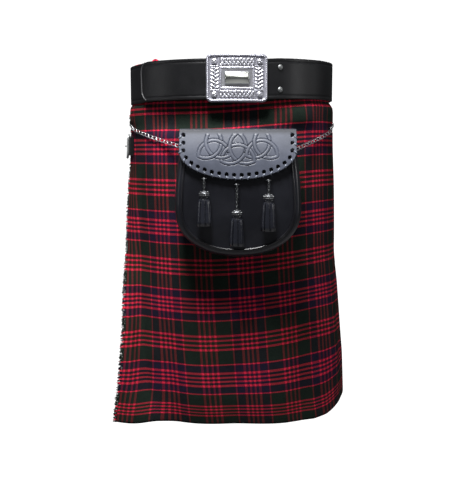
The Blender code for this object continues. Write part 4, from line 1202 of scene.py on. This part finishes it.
# Painted shade over the fold's top, carried in the same mark as the knot's pressed lines, which darkens the
# colour
fold_shade = FOLD_SHADE * smooth_step((flap_points[:, :, 2] - FOLD_SHADE_FROM) / FOLD_SHADE_REACH)
pressed = np.maximum(pressed, fold_shade)
keep = np.ones(flap_points.shape[:2], bool)
holes, ways_out = flap_holes()
for hole in holes:  # the points inside a hole go, and the nearest round it move on to its edge
    away = flap_points[:, :, ::2] - hole
    distance = np.maximum(np.linalg.norm(away, axis=2), 1e-6)
    from_edge = np.where(on_front, distance - HOLE_RADIUS, HOLE_RADIUS)
    keep &= from_edge >= HOLE_SNAP[0]
    ring = (from_edge >= HOLE_SNAP[0]) & (from_edge < HOLE_SNAP[1])
    snapped = hole + away * (HOLE_RADIUS / distance)[:, :, None]
    flap_points[:, :, ::2] = np.where(ring[:, :, None], snapped, flap_points[:, :, ::2])
keep = keep.ravel()
faces = [face for face in grid_faces(len(flap_points), FLAP_COLUMNS) if all(keep[i] for i in face)]
# The pressed mark carries painted shade, for the knot's lines and the fold's top
flap = mesh_of((flap_points.reshape(-1, 3), faces), pressed=pressed)
finished("flap_leather", flap, FLAP_LEATHER, "sporran_leather", "flap", wall=FLAP_THICK)

wraps = []
for out, hole in zip(ways_out, holes):
    slant = np.array([-out[1], out[0]]) * (1 if hole[0] < FLAP_X else -1)
    path = []
    for knot in WRAP:
        x, z = hole + out * knot.outwards + slant * knot.aside
        path.append((x, flap_y(min(z, FOLD_END + 4)) - knot.lift, z))
    wraps.append(tube(path, [knot.wire for knot in WRAP], 8))
finished("flap_lacing_wraps", mesh_of(*wraps), THONG, "thong", "flap_lacing")

# ---------- tassels
# Three leather tassels on the pouch's front. Each hangs by a small chain from a wire staple: a
# cast cap with three rows of beads, over strips of leather cut side by side and rolled up.
TASSELS = table(
    "name x staple cap_drop cap_height skirt_height",
    ("tassel_left", -38.8, -145, 16.4, 11.6, 40),
    ("tassel_centre", 7.9, -153.5, 35, 11.8, 41.6),
    ("tassel_right", 53.4, -147.5, 18, 11.8, 43),
)
TASSEL_Y, STAPLE_WIRE = -198, 0.7
STAPLE = ((3.2, None), (3.2, 1.2), (2.2, 0))  # half its wire, across and back; None is in the pouch
LINK_LENGTH, LINK_WIDTH, LINK_WIRE, LINK_PITCH = 4.4, 3.0, 0.55, 3.1
CHAIN_TOP, CHAIN_FOOT, CHAIN_SPARE = -0.7, 0.1, 1.4  # its end links' middles from staple and cap
CAP_FLATNESS = 0.86
CAP = (
    (0, 0), (1.2, -0.1), (1.6, -0.8), (1.5, -1.6), (3.6, -2.0), (5.6, -2.6), (7.0, -3.9), (7.6, -5.6),
    (7.4, -7.2), (6.2, -8.4), (5.6, -9.2), (0, -9.2),
)
CAP_BEADS = table("radius drop count size", (7.1, 4.6, 17, 1.0), (6.9, 7.2, 16, 0.95), (4.9, 2.5, 12, 0.8))
BEAD = ((0, -1), (0.87, -0.5), (0.87, 0.5), (0, 1))
NECK = ((0, 3), (5.4, 3), (6.4, 2.2), (6.4, 0.2), (5.4, -0.6), (0, -0.6))
SKIRT_SHAPE = ((0, 0.03, 0.08, 0.15, 0.5, 1), (5, 6.4, 7.5, 8.1, 9.2, 10.3))  # share down and radius
SKIRT_FLATNESS, SKIRT_SHARES = 0.66, (0, 0.03, 0.08, 0.15, 0.3, 0.5, 0.7, 0.85, 1)
STRIPS, STRIP_PITCH, INNER_STRIPS_IN = 7, 6.6, 1.3
# The core that the strips are rolled round: its radii, and how much shorter it is.
CORE_TOP, CORE_FOOT, CORE_SHORT = 5, 7.4, 1.6
# Round a strip's section: share of its half width, and how far out.
STRIP_SECTION = ((-1, -0.8), (-0.75, 0.15), (0, 0.5), (0.75, 0.15), (1, -0.8), (0.6, -1.1), (-0.6, -1.1))

TASSEL_LEATHER = make_leather(
    "tassel leather", (0.0125, 0.0135, 0.019), 0.25, 600.0, 0.00006, Coat_Weight=0.3, Coat_Roughness=0.2
)
DARK_SILVER = make_metal("darkened silver", (0.14, 0.145, 0.15), (0.03, 0.03, 0.033), 0.42)
CAP_SILVER = make_metal("beaded silver", (0.34, 0.35, 0.36), (0.05, 0.05, 0.055), 0.3)


def link_shape(length, width, wire, twist=0.0, sides=6, steps=16):
    """An oval wire link along X, flat across Z. A twist makes it lie like a curb link."""
    path = []
    for angle in around(steps):
        y, turn = width / 2 * math.sin(angle), twist * math.cos(angle)
        path.append((length / 2 * math.cos(angle), y * math.cos(turn), y * math.sin(turn)))
    return mesh_of(tube(path, wire, sides, True))


def strip(number, turn_share, inner, seed, length, x):
    """One strip of a skirt, hung from the origin, a little unlike its neighbours."""
    angle = 2 * math.pi * (number + turn_share) / STRIPS
    wander = 0.25 * math.sin(number * 2.4 + seed + x)
    end = length - 0.4 - 0.35 * math.sin(number * 1.9 + seed * 2 + x)
    points = []
    for share in SKIRT_SHARES:
        radius = np.interp(share, *SKIRT_SHAPE) - inner + wander * share * share
        half_width = STRIP_PITCH / 2 * (0.84 + 0.3 * share)
        turned = angle + 0.03 * math.sin(number * 3.1) * share
        out = np.array([math.cos(turned), math.sin(turned) * SKIRT_FLATNESS, 0])
        edge = np.array([-math.sin(turned), math.cos(turned) * SKIRT_FLATNESS, 0])
        edge *= half_width / np.linalg.norm(edge)
        middle = (0, 0, -end * share)
        points += [out * (radius + lift) + middle + edge * side for side, lift in STRIP_SECTION]
    return np.array(points), stack_faces(len(SKIRT_SHARES), len(STRIP_SECTION))


small_link = link_shape(LINK_LENGTH, LINK_WIDTH, LINK_WIRE)
for tassel in TASSELS:
    x, level = tassel.x, tassel.staple
    name, seat = tassel.name, POUCH_BACK_Y - pouch_depth(level) - FRONT_THICK / 2
    half = [(across, seat if back is None else TASSEL_Y + back) for across, back in STAPLE]
    bar = [(x - across, y, level) for across, y in half]
    bar += [(x + across, y, level) for across, y in half[::-1]]
    staple = mesh_of(tube(bar, STAPLE_WIRE))
    finished(name + "_staple_wire", staple, DARK_SILVER, "dark_silver", name + "_staple")

    cap_top = level - tassel.cap_drop
    count = max(round((tassel.cap_drop + CHAIN_SPARE) / LINK_PITCH), 2)
    heights = np.linspace(level + CHAIN_TOP, cap_top + CHAIN_FOOT, count + 1)
    line = [(x, TASSEL_Y, height) for height in heights]
    links = repeated(
        line, [(0, -1, 0)] * len(line), small_link, DARK_SILVER, (heights[0] - heights[-1]) / count * 0.999,
        Alternate_Turn=math.pi / 2, Unevenness=0.12, Seed=3,
    )
    finished(name + "_chain_links", links, DARK_SILVER, "dark_silver", name + "_chain", body=name)

    place = np.array([x, TASSEL_Y, cap_top])
    parts = [lathe(CAP, 32, CAP_FLATNESS, place)]
    marks = [0.8] * len(parts[0][0])
    for row in CAP_BEADS:
        bead = [(row.size * out, row.size * up) for out, up in BEAD]
        for angle in around(row.count):
            at = row.radius * np.array([math.cos(angle), CAP_FLATNESS * math.sin(angle), 0])
            parts.append(lathe(bead, 6, 1.0, place + at - (0, 0, row.drop)))
    marks += [0] * (sum(len(points) for points, _ in parts) - len(marks))
    cap = mesh_of(*parts, hollow=marks)
    finished(name + "_cap_cast", cap, CAP_SILVER, "dark_silver", name + "_cap", body=name)

    place = place - (0, 0, tassel.cap_height + 0.2)
    foot = CORE_SHORT - tassel.skirt_height
    core = lathe([(0, foot), (CORE_FOOT, foot), (CORE_TOP, 0), (0, 0)], 16, SKIRT_FLATNESS, place)
    parts = [core, lathe(NECK, 20, 0.8, place)]
    for turn_share, inner, seed in ((0, 0.0, 2), (0.5, INNER_STRIPS_IN, 5)):
        for i in range(STRIPS):
            points, faces = strip(i, turn_share, inner, seed, tassel.skirt_height, x)
            parts.append((points + place, faces))
    finished(
        name + "_skirt_strips", mesh_of(*parts), TASSEL_LEATHER, "sporran_leather", name + "_skirt", body=name
    )

# ---------- rings, chains and back strap
# The pouch hangs by two rings behind its top corners. A polished curb chain runs from each
# round the hip, and a short black strap joins the two across the pleats.
RING_RADIUS, RING_WIRE, RING_INSET, RING_GAP = 5, 1.1, 2, 2.2
CHAIN_SIDES = table("name side ring_level touch_turn", ("left", -1, -99.5, 42), ("right", 1, -104.5, 51))
CHAIN_OUT, CHAIN_END_TURN, CHAIN_END_LEVEL, CHAIN_SAG = 2.6, 112, -56, 1.5
CURB_LENGTH, CURB_WIDTH, CURB_WIRE, CURB_TWIST, CURB_PITCH, CURB_LEAN = 10.2, 4.7, 0.72, 0.4, 9, -0.25
BACK_STRAP = Section(8, 2.4, 0.9, 5.6)
BACK_STRAP_GAP = 1.2  # in degrees, from the chain's end

CHAIN_METAL = make_metal("chain metal", (0.78, 0.78, 0.8), (0.1, 0.1, 0.1), 0.3)


def back_strap_place(turn, height):
    return over_cloth(CHAIN_END_LEVEL + height, turn, ON_PLEATS + BACK_STRAP.thick / 2)


curb_link = link_shape(CURB_LENGTH, CURB_WIDTH, CURB_WIRE, CURB_TWIST, 7, 18)
for row in CHAIN_SIDES:
    ring_x = POUCH_X + row.side * (POUCH_TOP_HALF_WIDTH - RING_INSET)
    centre = np.array([ring_x, POUCH_BACK_Y + SEAM_GAP + RING_WIRE, row.ring_level])
    circle = [centre + RING_RADIUS * np.array([math.cos(a), 0, math.sin(a)]) for a in around(40)]
    node = f"sporran_ring_{row.name}"
    finished(node + "_wire", mesh_of(tube(circle, RING_WIRE, 12, True)), POLISHED, "cast_metal", node)

    line, outward = [centre + (row.side * (RING_RADIUS + RING_GAP), 0, 0)], [np.array([0, -1, 0])]
    near, far = abs(line[0][0]), WAIST.arc(CHAIN_END_TURN)
    for turn in np.linspace(row.touch_turn, CHAIN_END_TURN, 48):
        left = (far - WAIST.arc(turn)) / (far - near)
        height = CHAIN_END_LEVEL + (row.ring_level - CHAIN_END_LEVEL) * left**CHAIN_SAG
        point, way_out = over_cloth(round(height, 2), row.side * turn, CHAIN_OUT)
        line.append(point)
        outward.append(way_out)
    node = f"sporran_chain_{row.name}"
    links = repeated(
        line, outward, curb_link, CHAIN_METAL, CURB_PITCH, Turn=CURB_LEAN * row.side, Unevenness=0.08, Seed=11
    )
    finished(node + "_links", links, CHAIN_METAL, "cast_metal", node)

back_end = CHAIN_END_TURN + BACK_STRAP_GAP
strap(
    "sporran_strap", np.linspace(back_end, 360 - back_end, 120), back_strap_place,
    BACK_STRAP, BACK_STRAP.edge_round, POUCH_LEATHER, "sporran_leather",
)

# ---------- light, floor and camera
# A pale room with no edges and a wide white floor well below the hem. A soft light stands high
# in front, with a broad weak panel before the kilt, one at each side and a light behind it.
ROOM_WHITE, FLOOR_LEVEL = 1.2, -0.9  # the floor's level is in metres
LIGHTS = table(
    "name place aim size power",
    ("high front light", (-0.14, -0.64, 1.0), (0, 0, -0.1), 0.4, 38),
    ("front panel", (0.5, -1.5, 1.15), (0, -0.15, -0.12), 0.75, 2.1),
    ("left panel", (-1.55, -0.45, 0.05), (0, -0.1, -0.2), 0.4, 1.5),
    ("right panel", (1.55, -0.5, 0.1), (0, -0.1, -0.2), 0.4, 3.3),
    ("back light", (0.25, 1.6, 0.8), (0, 0, -0.2), 0.8, 16),
)


def white_when_seen(nodes, lit, white, output):
    """What the camera sees is white, and what lights the kilt is lit."""
    mixed = nodes.node("ShaderNodeMixShader", {0: nodes.node("ShaderNodeLightPath"), 1: lit, 2: white})
    nodes.tree.links.new(mixed.socket, nodes.tree.nodes[output].inputs["Surface"])


world = bpy.data.worlds.new("pale room")
world.use_nodes = True
room = Nodes(world.node_tree)
room_light = room.node("ShaderNodeBackground", {"Color": (0.93, 0.96, 1, 1), "Strength": 0.07})
backdrop = room.node("ShaderNodeBackground", {"Color": (1, 1, 1, 1), "Strength": ROOM_WHITE})
white_when_seen(room, room_light, backdrop, "World Output")
bpy.context.scene.world = world

for row in LIGHTS:
    data = bpy.data.lights.new(row.name, "AREA")
    data.shape, data.size, data.energy = "DISK", row.size, row.power
    made = linked(row.name, data)
    made.location = row.place
    made.rotation_euler = (Vector(row.aim) - Vector(row.place)).to_track_quat("-Z", "Y").to_euler()

floor_mesh = bpy.data.meshes.new("floor")
corners = [(x, y, FLOOR_LEVEL) for x, y in ((-60, -6), (60, -6), (60, 120), (-60, 120))]
floor_mesh.from_pydata(corners, [], [(0, 1, 2, 3)])
floor_look = Finish("pale floor", Base_Color=(0.32, 0.32, 0.33, 1), Roughness=0.9)
white = floor_look.node("ShaderNodeEmission", {"Color": (1, 1, 1, 1), "Strength": ROOM_WHITE})
lit = Signal(floor_look, floor_look.shader.outputs["BSDF"])
white_when_seen(floor_look, lit, white, "Material Output")
floor_mesh.materials.append(floor_look.material)
linked("floor", floor_mesh)

camera_data = bpy.data.cameras.new("camera")
camera_data.lens, camera_data.sensor_width = 57.6, 36
camera = linked("camera", camera_data)
camera.location = (0.0025, -1.34, -0.107)
camera.rotation_euler = (math.radians(83), 0, 0)
bpy.context.scene.camera = camera
bpy.context.scene.view_settings.view_transform = "Standard"
